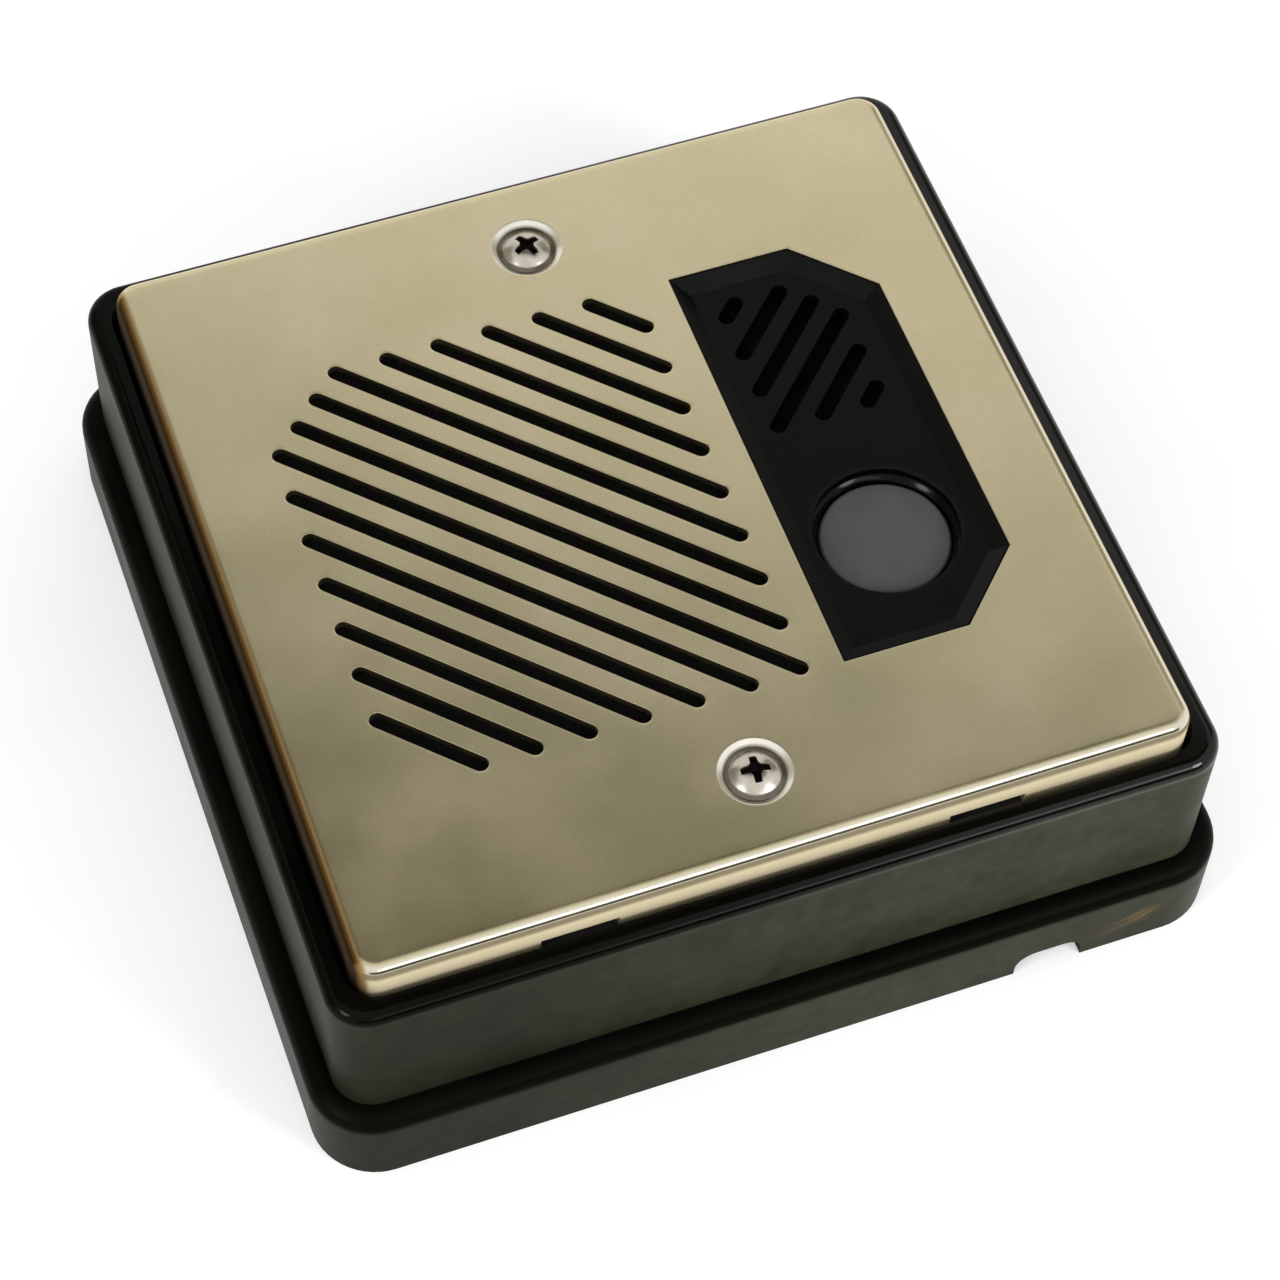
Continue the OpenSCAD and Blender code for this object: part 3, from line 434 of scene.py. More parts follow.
def box_plastic():
    """Black moulding with a gloss rim and matt sides.

    The sides are painted olive, lighter than the tops and more so to the right: painted light.
    The inside of the cable notch is painted black as painted shade, and a pale scrape lies beside
    the notch.
    """
    shade = Shade(
        "box_plastic", Specular_IOR_Level=0.028, Specular_Tint=(1.0, 1.0, 0.75, 1),
        Coat_Roughness=0.1,
    )
    cloud = shade.noise(14, detail=5.0)
    speck = shade.noise(2.4, detail=3.0)
    fine = shade.noise(0.35, detail=2.0)
    wave = shade.noise(26, detail=1.0)

    # The inside of the cable notch is painted black: painted shade.
    notch = shade.spot(1.0, (8, 8, 6), place=(cable_notch_x, box_front_y + 2.4, 1))
    in_notch_painted_shade = shade.ramp(shade.length(notch), 0.9, 1.0, 1.0, 0.0)
    within = shade.along("Y", box_front_y + 0.05, box_front_y + 0.3)
    behind = shade.math("MULTIPLY", in_notch_painted_shade, within)
    # Faces that look sideways are painted lighter olive, and faces that look up stay black: painted
    # light.
    upward = shade.xyz(shade.add("NewGeometry").outputs["Normal"])[2]
    upright = shade.ramp(upward, 0.1, 0.35, 1.0, 0.0)
    side = shade.math("MULTIPLY", upright, shade.math("SUBTRACT", 1.0, behind))

    gloss_skin = shade.colours(cloud, (0.0014, 0.0014, 0.001), (0.0028, 0.0028, 0.0021))
    tone = shade.mixed(cloud, speck, 0.6)
    # The sides are painted lighter towards the right: painted light.
    deep = shade.colours(tone, (0.0127, 0.0127, 0.0078), (0.0223, 0.0223, 0.0142), 0.36, 0.64)
    right_painted_lighter = shade.colours(tone, (0.0315, 0.0309, 0.0198), (0.0545, 0.0536, 0.0358), 0.36, 0.64)
    sides_painted_lighter = shade.blend(shade.along("X", -55, 30), deep, right_painted_lighter)
    skin = shade.blend(side, gloss_skin, sides_painted_lighter)

    slant = (0, -22, 0)
    streak = shade.noise(0.55, (16, 1, 1), 2.0, turn=slant)
    scraped = (cable_notch_x + 12.5, box_front_y, 5.7)
    spot = shade.spot(1.0, (6.4, 3.0, 1.9), turn=slant, place=scraped)
    patch = shade.ramp(shade.length(spot), 0.3, 1.1, 1.0, 0.0)
    scrape = shade.math("MULTIPLY", patch, shade.ramp(streak, 0.43, 0.62))
    shade.set("Base Color", shade.blend(scrape, skin, (0.15, 0.112, 0.058)))

    matt = shade.math("MAXIMUM", side, shade.along("Z", skirt_z + 1.8, skirt_z + 0.8))
    gloss = shade.plus(shade.ramp(cloud, 0.3, 0.7, 0.1, 0.16), matt, 0.26)
    shade.set("Roughness", shade.plus(gloss, scrape, 0.3))
    rim = shade.along("Z", box_rim_z - 2.4, box_rim_z - 1.6)
    polish = shade.math("MULTIPLY", rim, shade.along("X", -35, 45, 0.06, 0.5))
    shade.set("Coat Weight", polish)
    shade.bump((wave, 0.05), (fine, 0.0018))
    return shade


def panel_plastic():
    """Black moulding with a fine satin grain, which is polished in the button's well."""
    shade = Shade("panel_plastic", Specular_IOR_Level=0.1)
    fine = shade.noise(0.3, detail=2.0)
    cloud = shade.noise(9, detail=5.0)
    skin = shade.colours(cloud, (0.0009, 0.0011, 0.0007), (0.0019, 0.0022, 0.0015))
    shade.set("Base Color", skin)
    away = shade.length(shade.spot(1.0, (1, 1, 1000), place=(control_x, button_y, 0)))
    worn = shade.ramp(away, well_r + 0.4, well_r + 0.9, 0.4, 1.0)
    satin = shade.ramp(cloud, 0.3, 0.7, 0.34, 0.44)
    shade.set("Roughness", shade.math("MULTIPLY", satin, worn))
    shade.bump((fine, 0.0028))
    return shade


def foam(name, dark, light):
    """Open foam with pores of about half a millimetre.

    The pores' hollows are painted darker: painted shade.
    """
    shade = Shade(name, Roughness=0.95, Specular_IOR_Level=0.05)
    pores = shade.cells(0.55)
    cloud = shade.noise(3.0)
    # Darker where the pores sink in: painted shade.
    depth = shade.math("MULTIPLY", pores, cloud)
    shade.set("Base Color", shade.colours(depth, dark, light, 0.05, 0.4))
    shade.bump((pores, 0.25))
    return shade


def fibres(name, dark, light, size, depth, rough=(0.85, 0.97)):
    """Matted or woven fibres."""
    shade = Shade(name, Specular_IOR_Level=0.08)
    one = shade.noise(size, (6, 1, 1), 3.0, turn=(0, 0, 20))
    two = shade.noise(size, (1, 6, 1), 3.0, turn=(0, 0, 35))
    mat = shade.math("MAXIMUM", one, two)
    shade.set("Base Color", shade.colours(mat, dark, light, 0.4, 0.75))
    shade.set("Roughness", shade.ramp(mat, 0.4, 0.7, *rough))
    shade.bump((mat, depth))
    return shade


def two_part(name, edges, dark, light, rough):
    """Covered body whose legs, tags or ends are tinned metal.

    An edge is an axis, a place on it in millimetres, and half the width of the change, which is
    below zero where the metal lies on the lower side.
    """
    shade = Shade(name)
    grain = shade.noise(0.4, detail=3.0)
    sides = [shade.along(axis, place - half, place + half) for axis, place, half in edges]
    past = sides[0]
    for side in sides[1:]:
        past = shade.math("MAXIMUM", past, side)
    body = shade.colours(grain, dark, light)
    tin = shade.colours(grain, (0.6, 0.6, 0.58), (0.75, 0.75, 0.72))
    shade.set("Base Color", shade.blend(past, body, tin))
    shade.set("Metallic", past)
    shade.set("Roughness", shade.ramp(past, 0.0, 1.0, *rough))
    shade.bump((grain, 0.004))
    return shade


def board_laminate():
    """Green solder resist over raised tracks, with the glass weave showing faintly."""
    shade = Shade("board_laminate")
    track = shade.ramp(shade.cells(3.2, "DISTANCE_TO_EDGE"), 0.09, 0.13, 1.0, 0.0)
    weave = shade.noise(0.5, detail=3.0)
    green = shade.colours(weave, (0.008, 0.07, 0.025), (0.013, 0.1, 0.04))
    shade.set("Base Color", shade.blend(track, green, (0.03, 0.19, 0.075)))
    shade.set("Roughness", shade.ramp(weave, 0.3, 0.7, 0.28, 0.42))
    shade.bump((track, 0.03), (weave, 0.004))
    return shade


# Floor, light and background
def shown_rays(shade_tree):
    """One for rays from the camera and for those that gloss and glass send on, otherwise zero."""
    path = shade_tree.nodes.new("ShaderNodeLightPath")
    total = path.outputs["Is Camera Ray"]
    for key in ("Is Glossy Ray", "Is Transmission Ray"):
        node = shade_tree.nodes.new("ShaderNodeMath")
        node.operation = "MAXIMUM"
        shade_tree.links.new(total, node.inputs[0])
        shade_tree.links.new(path.outputs[key], node.inputs[1])
        total = node.outputs[0]
    return total


def flat_sheet(name, width, height):
    """Rectangle about the origin, in the XY plane."""
    shape = Shape()
    w, h = width / 2, height / 2
    shape.cap(shape.loop([(-w, -h, 0), (w, -h, 0), (w, h, 0), (-w, h, 0)]))
    return shape.build(name)


def white_world(level):
    """White all round: at full strength where it shows, and at the given level as light."""
    world = bpy.data.worlds.new("studio")
    bpy.context.scene.world = world
    world.use_nodes = True
    tree = world.node_tree
    strength = tree.nodes.new("ShaderNodeMapRange")
    strength.inputs["To Min"].default_value = level
    strength.inputs["To Max"].default_value = 1.0
    tree.links.new(shown_rays(tree), strength.inputs["Value"])
    back = tree.nodes["Background"]
    back.inputs["Color"].default_value = (1, 1, 1, 1)
    tree.links.new(strength.outputs[0], back.inputs["Strength"])


def pale_floor(side, lift):
    """White paper on the ground, lifted to white where it shows, so that only shadow is left."""
    floor = flat_sheet("floor", side, side)
    shade = Shade("floor_paper", Roughness=0.9, Specular_IOR_Level=0.0)
    paper = shade.noise(30, detail=4.0)
    shade.set("Base Color", shade.colours(paper, (0.8, 0.8, 0.8), (0.83, 0.83, 0.83)))
    glow = shade.ramp(shown_rays(shade.tree), 0.0, 1.0, 0.0, lift)
    shade.shader.inputs["Emission Color"].default_value = (1, 1, 1, 1)
    shade.set("Emission Strength", glow)
    shade.on(floor)


def lamp(name, azimuth, power, elevation=30, distance=0.9, size=0.28):
    """Round lamp that the camera doesn't see."""
    data = bpy.data.lights.new(name, "AREA")
    data.shape = "DISK"
    data.size = size
    data.energy = power
    back = toward(azimuth, elevation)
    obj = put(bpy.data.objects.new(name, data), aim + back * distance, turned_to(back))
    obj.visible_camera = False
    return obj


def card(name, place, distance, size, tone, roll=0):
    """Card of a plain tone that only gloss sees, to shape what the metal reflects."""
    obj = flat_sheet(name, *size)
    back = toward(*place)
    obj.matrix_world = Matrix.Translation(aim + back * distance) @ turned_to(back, roll).to_4x4()
    shade = Shade(name, Roughness=1.0, Specular_IOR_Level=0.0)
    shade.shader.inputs["Base Color"].default_value = (0, 0, 0, 1)
    shade.shader.inputs["Emission Color"].default_value = (*tone, 1)
    shade.shader.inputs["Emission Strength"].default_value = 1.0
    shade.on(obj)
    obj.visible_camera = False
    obj.visible_diffuse = False
    obj.visible_shadow = False


def link_lamps(name, lamps, obj, state):
    """Lets lamps leave out an object, or light nothing else, as the link state says."""
    group = bpy.data.collections.new(name)
    group.objects.link(obj)
    group.collection_objects[0].light_linking.link_state = state
    for one in lamps:
        one.light_linking.receiver_collection = group


bpy.context.scene.view_settings.view_transform = "Standard"
white_world(0.68)
pale_floor(12000, 0.36)
main_lamps = [lamp("lamp_right", 37.5, 2.8), lamp("lamp_left", -68, 2.8)]
edge_lamp = lamp("edge_lamp", 28, 2.7)
edge_lamp.visible_glossy = False
card("flag_far", (158, 73), 0.8, (1000, 460), (0.06, 0.056, 0.028), -8)
card("flag_left", (-121, 22), 0.7, (800, 560), (0.36, 0.33, 0.27))
card("flag_right", (118, 24), 0.7, (420, 380), (0.3, 0.28, 0.21))
card("flag_front", (2, 11), 0.9, (1500, 330), (0.05, 0.05, 0.04))
card("strip_front", (10, 31), 0.92, (520, 180), (3.4, 3.4, 3.3))


# Face plate
def square_loop(inset, z, corner_r=3.5, steps=10, stops=()):
    """Rounded square inside the plate's outline, with extra points along its lower side."""
    half = plate_half - inset
    r = corner_r - inset
    c = half - r
    points = []
    for start, x, y in ((-90, c, -c), (0, c, c), (90, -c, c), (180, -c, -c)):
        points += list(arc((x, y), r, start, start + 90, steps))
    points += [(x, -half) for x in stops]
    return at_height(points, z)


def slot_tips(w, h, cut, count, pitch, shift):
    """Ends of slots that fall to the right across a field whose upper left corner is cut off."""
    for i in range(count):
        total = math.sqrt(2) * ((i - (count - 1) / 2) * pitch + shift)
        x0 = max(-w / 2, total - h / 2, (total + cut - (w + h) / 2) / 2)
        x1 = min(w / 2, total + h / 2)
        yield Vector((x0, total - x0)), Vector((x1, total - x1))


def slot_loop(a, b, width, z, steps=9):
    """Outline of a slot with round ends, whose tips lie at a and b for the given width."""
    way = (b - a).normalized()
    angle = math.degrees(math.atan2(way.y, way.x))
    points = list(arc(b, width / 2, angle - 90, angle + 90, steps))
    points += list(arc(a, width / 2, angle + 90, angle + 270, steps))
    return at_height(points, z)


def window_loop(grow, z):
    """Outline of the plate's window, grown on all sides, with slightly eased corners."""
    window_left, window_right, window_top, window_cut = 16.9, 44.7, 33.4, 10
    ease, steps = 0.12, 3
    left, right, top = window_left - grow, window_right + grow, window_top + grow
    cut = window_cut + grow * (2 - math.sqrt(2))
    corners = [
        (left, -top), (right - cut, -top), (right, cut - top),
        (right, top - cut), (right - cut, top), (left, top),
    ]
    points = []
    for i, corner in enumerate(corners):
        here = Vector(corner)
        before = (Vector(corners[i - 1]) - here).normalized() * ease
        after = (Vector(corners[(i + 1) % len(corners)]) - here).normalized() * ease
        for k in range(steps + 1):
            t = k / steps
            points.append(tuple(here + before * (1 - t) ** 2 + after * t**2))
    return at_height(points, z)


def rim_steps(edge, count=4):
    """Outward offsets and depths of a rounded rim, from the face to the wall of a hole."""
    for k in range(count + 1):
        a = math.pi / 2 * k / count
        yield edge * (1 - math.sin(a)), edge * (1 - math.cos(a))


def make_plate():
    """Bent sheet with turned edges, two notches in its foot, slots, a window and two dimples."""
    shape = Shape()
    bend, edge = 1.8, 0.1
    bend_border, hole_border = 1.0, 0.3
    notch_x, notch_w, notch_h = 27.8, 10.5, 2.4
    stops = [s * notch_x + e * notch_w / 2 for s in (-1, 1) for e in (-1, 1)]

    def ring(inset, z):
        return shape.loop(square_loop(inset, z, stops=stops))

    def bend_rings(radius, steps=10):
        for k in range(steps + 1):
            a = math.pi / 2 * k / steps
            yield ring(bend - radius * math.sin(a), face_z - bend + radius * math.cos(a))

    outer = [ring(bend + bend_border, face_z), *bend_rings(bend)]
    inner = list(bend_rings(bend - plate_t))
    notch_z = plate_foot_z + notch_h
    outer.append(ring(0, notch_z))
    inner.append(ring(plate_t, notch_z))
    shape.bands(outer)
    shape.bands(inner)
    foot_out, foot_in = ring(0, plate_foot_z), ring(plate_t, plate_foot_z)
    # A ring's last four points are the ends of the two notches
    last = len(foot_out) - 1
    gaps = (last - 3, last - 1)
    shape.band(outer[-1], foot_out, skip=gaps)
    shape.band(inner[-1], foot_in, skip=gaps)
    shape.band(foot_out, foot_in, skip=gaps)
    for i in gaps:
        a, b = outer[-1], inner[-1]
        shape.cap((a[i], a[i + 1], b[i + 1], b[i]))
        for k in (i, i + 1):
            shape.cap((a[k], b[k], foot_in[k], foot_out[k]))

    face_holes, back_holes = [], []

    def hole(outline):
        """Hole with a rounded upper rim, and a flat border that keeps the face's shading even."""
        loops = [shape.loop(outline(edge + hole_border, face_z))]
        loops += [shape.loop(outline(out, face_z - down)) for out, down in rim_steps(edge)]
        loops.append(shape.loop(outline(0, sheet_z)))
        shape.bands(loops)
        face_holes.append(loops[0])
        back_holes.append(loops[-1])

    middle = Vector((speaker_x, 0))
    field_w, field_h, field_cut = 56, 67, 11.2
    slot_count, slot_pitch, slot_shift, slot_w = 15, 5.22, 1.55, 2.25
    tips = slot_tips(field_w, field_h, field_cut, slot_count, slot_pitch, slot_shift)
    for tip_a, tip_b in tips:
        in_by = (tip_b - tip_a).normalized() * slot_w / 2
        a, b = middle + tip_a + in_by, middle + tip_b - in_by
        hole(lambda out, z, a=a, b=b: slot_loop(a, b, slot_w + 2 * out, z))
    hole(window_loop)

    dimple_r, foot_r, deep, ease, steps = 4.95, 2.3, 1.7, 0.3, 5
    slope = math.atan2(deep, dimple_r - foot_r)
    start = dimple_r + ease * math.tan(slope / 2)
    dimple = [(start + hole_border, face_z)]
    for k in range(steps + 1):
        a = slope * k / steps
        dimple.append((start - ease * math.sin(a), face_z - ease * (1 - math.cos(a))))
    dimple += [(foot_r, face_z - deep), (foot_r, sheet_z - deep), (dimple_r, sheet_z)]
    for y in (screw_y, -screw_y):
        loops = shape.lathe(dimple, (0, y), 64)
        face_holes.append(loops[0])
        back_holes.append(loops[-1])

    shape.fill(outer[0], *face_holes)
    shape.fill(inner[0], *back_holes)
    return shape.build("plate_sheet")


# Plate screws
def smooth(low, high, x):
    """Eased step from 0 at the first number to 1 at the second."""
    t = min(max((x - low) / (high - low), 0.0), 1.0)
    return t * t * (3 - 2 * t)


def recess_depth(r, a):
    """Depth of the cross recess at a radius and an angle from one of its wings."""
    u, v = abs(r * math.cos(a)), abs(r * math.sin(a))
    reach, core, soft = 1.9, 1.3, 0.07
    tip_depth, more_in_middle = 0.55, 1.15
    wing = 0.54 - 0.07 * max(u, v)
    centre = (u + v - core) / math.sqrt(2)
    edge = min(max(u - reach, v - wing), max(v - reach, u - wing), centre)
    depth = tip_depth + more_in_middle * (1 - min(r / reach, 1.0))
    return depth * smooth(soft, -soft, edge)


def make_screws():
    """Two raised countersunk screws with a cross recess.

    Their domes' centre height and radius are returned with them.
    """
    shape = Shape()
    low, high = box_mm("plate_screws")
    head_r, crown_r, shank_r = 4.0, 3.35, 1.95
    edge_z, crown_z = high.z - 1.5, high.z - 1.3
    dome_r = (crown_r**2 + (high.z - crown_z) ** 2) / (2 * (high.z - crown_z))
    dome_z = high.z - dome_r
    steps = 240
    fine_r, fine_rings, plain_rings = 2.2, 44, 10
    radii = [fine_r * k / fine_rings for k in range(1, fine_rings + 1)]
    plain_w = (crown_r - fine_r) / plain_rings
    radii += [fine_r + plain_w * k for k in range(1, plain_rings + 1)]
    thread_pitch, thread_deep = 0.9, 0.3
    for y, turn in ((screw_y, 24.0), (-screw_y, 83.0)):
        loops = []
        for r in radii:
            ring = []
            for k in range(steps):
                a = 2 * math.pi * k / steps
                place = a + math.radians(turn)
                z = dome_z + math.sqrt(dome_r**2 - r**2) - recess_depth(r, a)
                ring.append((r * math.cos(place), y + r * math.sin(place), z))
            loops.append(shape.loop(ring))
        shape.bands(loops)
        shape.cap(loops[0])
        under = [(head_r - 0.08, edge_z + 0.06), (head_r, edge_z), (shank_r, edge_z - 1.3)]
        thread_z = edge_z - 2.2
        while thread_z > low.z + 1.2:
            under.append((shank_r, thread_z))
            under.append((shank_r - thread_deep, thread_z - thread_deep))
            under.append((shank_r, thread_z - 2 * thread_deep))
            thread_z -= thread_pitch
        under += [(shank_r - 0.2, low.z + 0.5), (shank_r - 0.6, low.z), (0.0, low.z)]
        brim = shape.lathe(under, (0, y), steps)
        shape.band(loops[-1], brim[0])
    return shape.build("plate_screw_pair", 40), dome_z, dome_r


# Panel with the button's well
def make_panel():
    """Copy of the panel with a crisper rim round the button's well, and a sloping lip inside it."""
    mesh = nodes["insert_panel"].data.copy()
    obj = bpy.data.objects.new("control_panel", mesh)
    bpy.context.scene.collection.objects.link(obj)
    axis = Vector((control_x, button_y))
    dish_z, old_ease, ease_out, ease_down = 40.0, 0.6, 0.1, 0.15
    well_edge = (
        ((well_r, dish_z - old_ease), (well_r, dish_z - ease_down)),
        ((well_r + old_ease, dish_z), (well_r + ease_out, dish_z)),
    )
    for vertex in mesh.vertices:
        place = vertex.co / MM
        aside = place.xy - axis
        for was, now in well_edge:
            if abs(aside.length - was[0]) < 0.1 and abs(place.z - was[1]) < 0.1:
                spot = axis + aside.normalized() * now[0]
                vertex.co = Vector((spot.x, spot.y, now[1])) * MM
                break
    lip = Shape()
    lip_out, lip_in, lip_top, lip_foot = well_r + 0.1, 9.2, 38.95, 37.3
    slope = [(lip_out, lip_top), (9.98, 38.93), (9.9, 38.87), (9.26, 38.2), (9.21, 38.1)]
    slope += [(lip_in, 37.95), (lip_in, lip_foot), (lip_out, lip_foot), (lip_out, lip_top)]
    lip.lathe(slope, axis, 160)
    lip_obj = lip.build("well_lip", 40)
    work = bmesh.new()
    work.from_mesh(mesh)
    work.from_mesh(lip_obj.data)
    work.to_mesh(mesh)
    work.free()
    bpy.data.objects.remove(lip_obj)
    mesh.update()
    return obj


# Cloth, foam, springs and the soft rings of the speaker
def make_cloth():
    """Plain-woven cloth, stretched behind the slots."""
    shape = Shape()
    low, high = box_mm("speaker_cloth")
    yarn, step, half_t, wave = 1.2, 0.4, 0.1, 0.13
    across = int((high.x - low.x) / step)
    up = int((high.y - low.y) / step)
    middle = (low.z + high.z) / 2
    layers = []
    for side in (-1, 1):
        rows = []
        for j in range(up + 1):
            y = low.y + (high.y - low.y) * j / up
            row = []
            for i in range(across + 1):
                x = low.x + (high.x - low.x) * i / across
                weave = math.sin(math.pi * x / yarn) * math.sin(math.pi * y / yarn)
                row.append((x, y, middle + side * half_t + wave * weave))
            rows.append(shape.loop(row))
        shape.bands(rows, closed=False)
        layers.append(rows)
    lower, upper = layers
    shape.band(lower[0], upper[0], closed=False)
    shape.band(lower[-1], upper[-1], closed=False)
    for end in (0, -1):
        shape.band([row[end] for row in lower], [row[end] for row in upper], closed=False)
    return shape.build("grille_cloth", 60), (high.x - low.x, high.y - low.y)


def make_mic_pad():
    """Foam block, pressed flat on both faces, with bulging, soft-edged sides."""
    shape = Shape()
    low, high = box_mm("mic_foam")
    cx, cy = (low.x + high.x) / 2, (low.y + high.y) / 2
    half_x, half_y = (high.x - low.x) / 2, (high.y - low.y) / 2
    thick = high.z - low.z
    r, bulge, border, steps = 1.0, 0.42, 1.6, 10

    def outline(inset, z):
        points = []
        for start, sx, sy in ((-90, 1, -1), (0, 1, 1), (90, -1, 1), (180, -1, -1)):
            centre = (cx + sx * (half_x - inset - r), cy + sy * (half_y - inset - r))
            points += list(arc(centre, r, start, start + 90, 6))
        return at_height(points, z)

    loops = []
    for k in range(steps + 1):
        a = math.pi * k / steps
        inset, up = bulge * (1 - math.sin(a)), thick * (1 - math.cos(a)) / 2
        loops.append(shape.loop(outline(inset, low.z + up)))
    shape.bands(loops)
    for loop, z in ((loops[0], low.z), (loops[-1], high.z)):
        inner = shape.loop(outline(border, z))
        shape.band(loop, inner)
        shape.fill(inner)
    return shape.build("mic_pad", 60)


def ring_profile(inner, outer, low_z, high_z, ease, steps=5):
    """Closed section of a ring with rounded corners, from the inside round."""
    corners = (
        (inner + ease, low_z + ease, 180), (outer - ease, low_z + ease, 270),
        (outer - ease, high_z - ease, 0), (inner + ease, high_z - ease, 90),
    )
    points = []
    for x, z, start in corners:
        points += list(arc((x, z), ease, start, start + 90, steps))
    return points + points[:1]


def make_ring_pad():
    """Foam ring between the cloth and the speaker's rim."""
    shape = Shape()
    low, high = box_mm("speaker_gasket")
    outer = (high.x - low.x) / 2
    width, ease = 2.5, 0.45
    shape.lathe(ring_profile(outer - width, outer, low.z, high.z, ease), (speaker_x, 0), 128)
    return shape.build("speaker_ring_pad", 60)


def make_edge_roll():
    """Half-round rolled rubber edge with its two laps, the inner one above the cone's stroke."""
    shape = Shape()
    low, high = box_mm("cone_surround")
    outer = (high.x - low.x) / 2
    roll_x, roll_r, thick = 22.6, 1.0, 0.4
    base = high.z - roll_r - thick
    inner, lap_z = 20.2, base + 0.15
    upper = [(inner, base + thick), (roll_x - roll_r - thick, base + thick)]
    upper += list(arc((roll_x, base), roll_r + thick, 163, 17, 12))
    upper += [(outer, low.z + thick)]
    lower = [(outer, low.z), (roll_x + roll_r, low.z)]
    lower += list(arc((roll_x, base), roll_r, 8, 172, 12))
    lower += [(roll_x - roll_r, lap_z), (inner, lap_z)]
    shape.lathe(upper + lower + upper[:1], (speaker_x, 0), 128)
    return shape.build("edge_roll", 50)


def make_centring_disc():
    """Corrugated cloth disc between the coil and the basket."""
    shape = Shape()
    low, high = box_mm("cone_spider")
    outer = (high.x - low.x) / 2
    inner = 7.6
    thick, wave, waves = 0.28, 0.25, 4
    crest = high.z - thick
    count = 64
    upper, lower = [], []
    for k in range(count + 1):
        t = k / count
        r = inner + (outer - inner) * t
        fall = smooth(0.86, 1.0, t)
        ripple = crest - wave + wave * math.cos(2 * math.pi * waves * t)
        z = ripple * (1 - fall) + low.z * fall
        lower.append((r, z))
        upper.append((r, z + thick))
    shape.lathe(lower + upper[::-1] + lower[:1], (speaker_x, 0), 128)
    return shape.build("centring_disc", 70)


def make_cap():
    """Pressed paper dome over the coil."""
    shape = Shape()
    low, high = box_mm("dust_cap")
    cap_r, cap_h = (high.x - low.x) / 2, high.z - low.z
    thick, steps = 0.4, 24
    ball_r = (cap_r**2 + cap_h**2) / (2 * cap_h)
    centre_z = high.z - ball_r
    inner_r = ball_r - thick
    outer_end = math.asin(cap_r / ball_r)
    inner_end = math.acos((low.z - centre_z) / inner_r)
    skin = [outer_end * k / steps for k in range(steps + 1)]
    lining = [inner_end * (1 - k / steps) for k in range(steps + 1)]
    profile = [(ball_r * math.sin(a), centre_z + ball_r * math.cos(a)) for a in skin]
    profile += [(inner_r * math.sin(a), centre_z + inner_r * math.cos(a)) for a in lining]
    shape.lathe(profile, (speaker_x, 0), 96)
    return shape.build("cap_dome", 50)


def make_spring():
    """Round-wire spring between the board and the button's flange."""
    shape = Shape()
    low, high = box_mm("button_spring")
    wire_r = 0.3
    radius = (high.x - low.x) / 2 - wire_r
    foot, top = low.z + wire_r, high.z - wire_r
    turns, steps = 3.5, 48
    count = int(turns * steps)
    path = []
    for k in range(count + 1):
        a = 2 * math.pi * k / steps
        z = foot + (top - foot) * k / count
        path.append((control_x + radius * math.cos(a), button_y + radius * math.sin(a), z))
    shape.tube(path, wire_r, 12)
    return shape.build("return_spring", 60)


def make_leads():
    """Two soft wires from the tags to the board, with bare soldered ends."""
    shape = Shape()
    low, high = box_mm("speaker_leads")
    tag_x, pad_x, run_z = 10.6, 17.4, board_top_z + 1.6
    lead_y, lead_r = 3.0, 0.58
    corners = [
        (tag_x, high.z), (tag_x, high.z - 1.0), (tag_x + 0.8, run_z + 0.4), (tag_x + 2.4, run_z),
        (pad_x - 1.2, run_z), (pad_x - 0.3, run_z - 0.5), (pad_x, run_z - 1.0), (pad_x, low.z),
    ]
    for y in (-lead_y, lead_y):
        path = []
        for k, (x, z) in enumerate(corners[:-1]):
            nx, nz = corners[k + 1]
            for t in (0.0, 0.33, 0.67):
                path.append((x + (nx - x) * t, y, z + (nz - z) * t))
        path.append((corners[-1][0], y, corners[-1][1]))
        soft = [Vector(p) for p in path]
        for _ in range(3):
            inside = range(2, len(soft) - 2)
            eased = [(soft[i - 1] + soft[i] * 2 + soft[i + 1]) / 4 for i in inside]
            soft = soft[:2] + eased + soft[-2:]
        shape.tube(soft, lead_r, 14)
    return shape.build("lead_wires", 50)


def make_coil():
    """Coil former with its fine wire wound round the lower end."""
    shape = Shape()
    low, high = box_mm("voice_coil")
    outer = (high.x - low.x) / 2
    inner, former_r, groove = outer - 0.4, outer - 0.2, 0.1
    wire_w, bare_h, steps = 0.22, 2.4, 4
    profile = [(inner, high.z), (inner, low.z), (outer - 0.05, low.z)]
    z = low.z
    while z + wire_w < high.z - bare_h:
        for k in range(steps + 1):
            swell = groove * math.sin(math.pi * k / steps)
            profile.append((outer - groove + swell, z + wire_w * k / steps))
        z += wire_w
    profile += [(former_r, z + 0.05), (former_r, high.z), (inner, high.z)]
    shape.lathe(profile, (speaker_x, 0), 96)
    return shape.build("coil_winding", 50)


def place_piece(obj, shade, node, body):
    """Dresses a piece, lets it stand for its node and moves it with that node's body."""
    shade.on(obj)
    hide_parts(node)
    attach(obj, body)


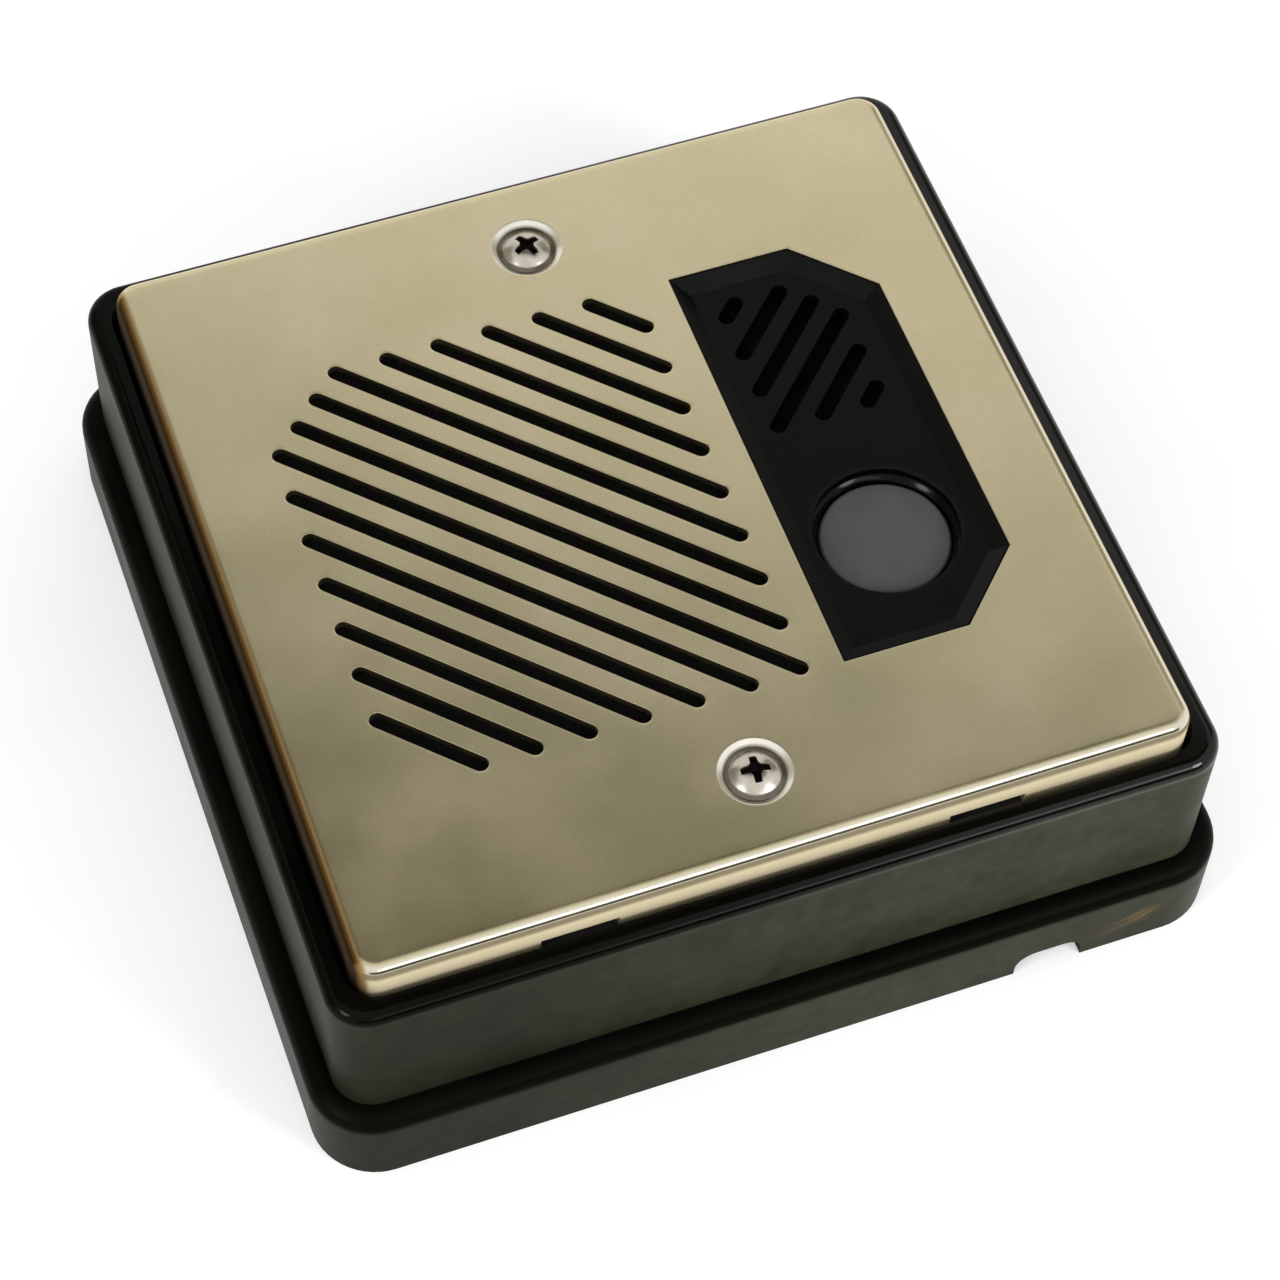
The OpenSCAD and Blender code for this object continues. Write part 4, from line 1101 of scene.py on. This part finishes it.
# Materials that several pieces share, or that need no function of their own
rubber = plastic(
    "black_rubber", (0.012, 0.012, 0.012), (0.024, 0.024, 0.023), (0.6, 0.8), 0.25, 0.004, 4.0
)
black_foam = foam("black_foam", (0.0004, 0.0004, 0.0004), (0.0036, 0.0036, 0.0034))
grille_weave = fibres(
    "grille_weave", (0.0006, 0.0006, 0.0006), (0.0035, 0.0035, 0.0034), 0.15, 0.02
)
paper = fibres("cone_paper", (0.015, 0.015, 0.014), (0.05, 0.05, 0.047), 0.4, 0.02)
resin_cloth = fibres("resin_cloth", (0.28, 0.2, 0.09), (0.5, 0.4, 0.2), 0.3, 0.03, (0.6, 0.85))
zinc = metal(
    "zinc_plate", (0.5, 0.5, 0.49), (0.68, 0.68, 0.66), (0.26, 0.44), 0.3, (4, 1, 1), blotch=3.0
)
pole_steel = metal(
    "pole_steel", (0.42, 0.42, 0.41), (0.56, 0.56, 0.54), (0.3, 0.45), 0.2, (1, 1, 6), blotch=5.0
)
spring_steel = metal(
    "spring_steel", (0.46, 0.46, 0.46), (0.62, 0.62, 0.61), (0.2, 0.34), 0.08,
    depth=0.0012, blotch=2.0,
)
brass = metal(
    "turned_brass", (0.6, 0.42, 0.15), (0.78, 0.58, 0.26), (0.22, 0.36), 0.12, (6, 6, 1), blotch=2.5
)
copper = metal(
    "wound_copper", (0.6, 0.27, 0.12), (0.8, 0.42, 0.22), (0.25, 0.4), 0.1, (5, 5, 1), blotch=2.0
)
can = metal(
    "drawn_can", (0.62, 0.62, 0.62), (0.76, 0.76, 0.76), (0.24, 0.36), 0.15, (1, 1, 8), blotch=3.0
)
ferrite = plastic(
    "ground_ferrite", (0.035, 0.035, 0.038), (0.07, 0.07, 0.075), (0.55, 0.75), 0.3, 0.012, 2.5
)
black_plastic = plastic(
    "black_plastic", (0.014, 0.014, 0.014), (0.026, 0.026, 0.026), (0.35, 0.5), 0.3, 0.003
)
button_plastic = plastic(
    "button_plastic", (0.066, 0.068, 0.064), (0.078, 0.08, 0.076), (0.42, 0.52), 0.25, 0.003, 5.0,
    Specular_IOR_Level=0.25,
)
plunger_plastic = plastic(
    "plunger_plastic", (0.42, 0.06, 0.045), (0.55, 0.11, 0.08), (0.4, 0.5), 0.2, 0.003
)
terminal_plastic = plastic(
    "terminal_plastic", (0.035, 0.2, 0.09), (0.06, 0.28, 0.13), (0.4, 0.52), 0.3, 0.004
)
sleeve = plastic(
    "capacitor_sleeve", (0.012, 0.02, 0.06), (0.024, 0.036, 0.1), (0.14, 0.26), 0.6, 0.003
)
wire_cover = two_part(
    "wire_cover", [("Z", board_top_z + 3.22, 0.02), ("Z", board_top_z + 0.72, -0.02)],
    (0.3, 0.02, 0.018), (0.45, 0.04, 0.035), (0.42, 0.3),
)
chip_back_y, chip_front_y = 0.8, 7.2
chip_epoxy = two_part(
    "chip_epoxy", [("Y", chip_front_y, 0.01), ("Y", chip_back_y, -0.01)],
    (0.012, 0.012, 0.012), (0.03, 0.03, 0.03), (0.6, 0.3),
)
tag_strip_z = 36.0
tag_board = two_part(
    "tag_board", [("Z", tag_strip_z, -0.02)], (0.2, 0.1, 0.035), (0.36, 0.2, 0.085), (0.65, 0.3)
)

# Pieces that stand for nodes
plate_sheet = make_plate()
place_piece(plate_sheet, plate_metal(), "face_plate", "station")
link_lamps("no_glare", main_lamps, plate_sheet, "EXCLUDE")
link_lamps("plate_only", [edge_lamp], plate_sheet, "INCLUDE")
screw_pair, *dome = make_screws()
place_piece(screw_pair, screw_metal(*dome), "plate_screws", "station")
place_piece(make_panel(), panel_plastic(), "insert_panel", "station")

grille_cloth, cloth_size = make_cloth()
place_piece(grille_cloth, grille_weave, "speaker_cloth", "station")
mic_pad = make_mic_pad()
place_piece(mic_pad, black_foam, "mic_foam", "station")
ring_pad = make_ring_pad()
place_piece(ring_pad, black_foam, "speaker_gasket", "station")
place_piece(make_edge_roll(), rubber, "cone_surround", "station")
place_piece(make_centring_disc(), resin_cloth, "cone_spider", "station")
place_piece(make_leads(), wire_cover, "speaker_leads", "station")
place_piece(make_coil(), copper, "voice_coil", "cone")
place_piece(make_cap(), paper, "dust_cap", "cone")

return_spring = make_spring()
place_piece(return_spring, spring_steel, "button_spring", "station")
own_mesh(return_spring)

# Materials of the nodes that show as they are
dressed = {
    box_plastic(): ["back_box"],
    button_plastic: ["call_button"],
    plunger_plastic: ["switch_plunger"],
    black_plastic: ["switch_body"],
    rubber: ["cable_grommet", "plate_gasket", "insert_gasket", "mic_boot"],
    brass: ["screw_inserts", "terminal_clamps"],
    zinc: [
        "weld_studs", "insert_nuts", "board_screws", "terminal_screws", "speaker_frame",
        "speaker_clamps", "clamp_nuts",
    ],
    pole_steel: ["magnet_washer", "magnet_yoke"],
    can: ["mic_capsule"],
    ferrite: ["speaker_magnet"],
    paper: ["speaker_cone"],
    board_laminate(): ["circuit_board"],
    chip_epoxy: ["amplifier_chip"],
    sleeve: ["capacitors"],
    terminal_plastic: ["terminal_block"],
    tag_board: ["speaker_tags"],
}
for shade, names in dressed.items():
    shade.on(*(nodes[name] for name in names))
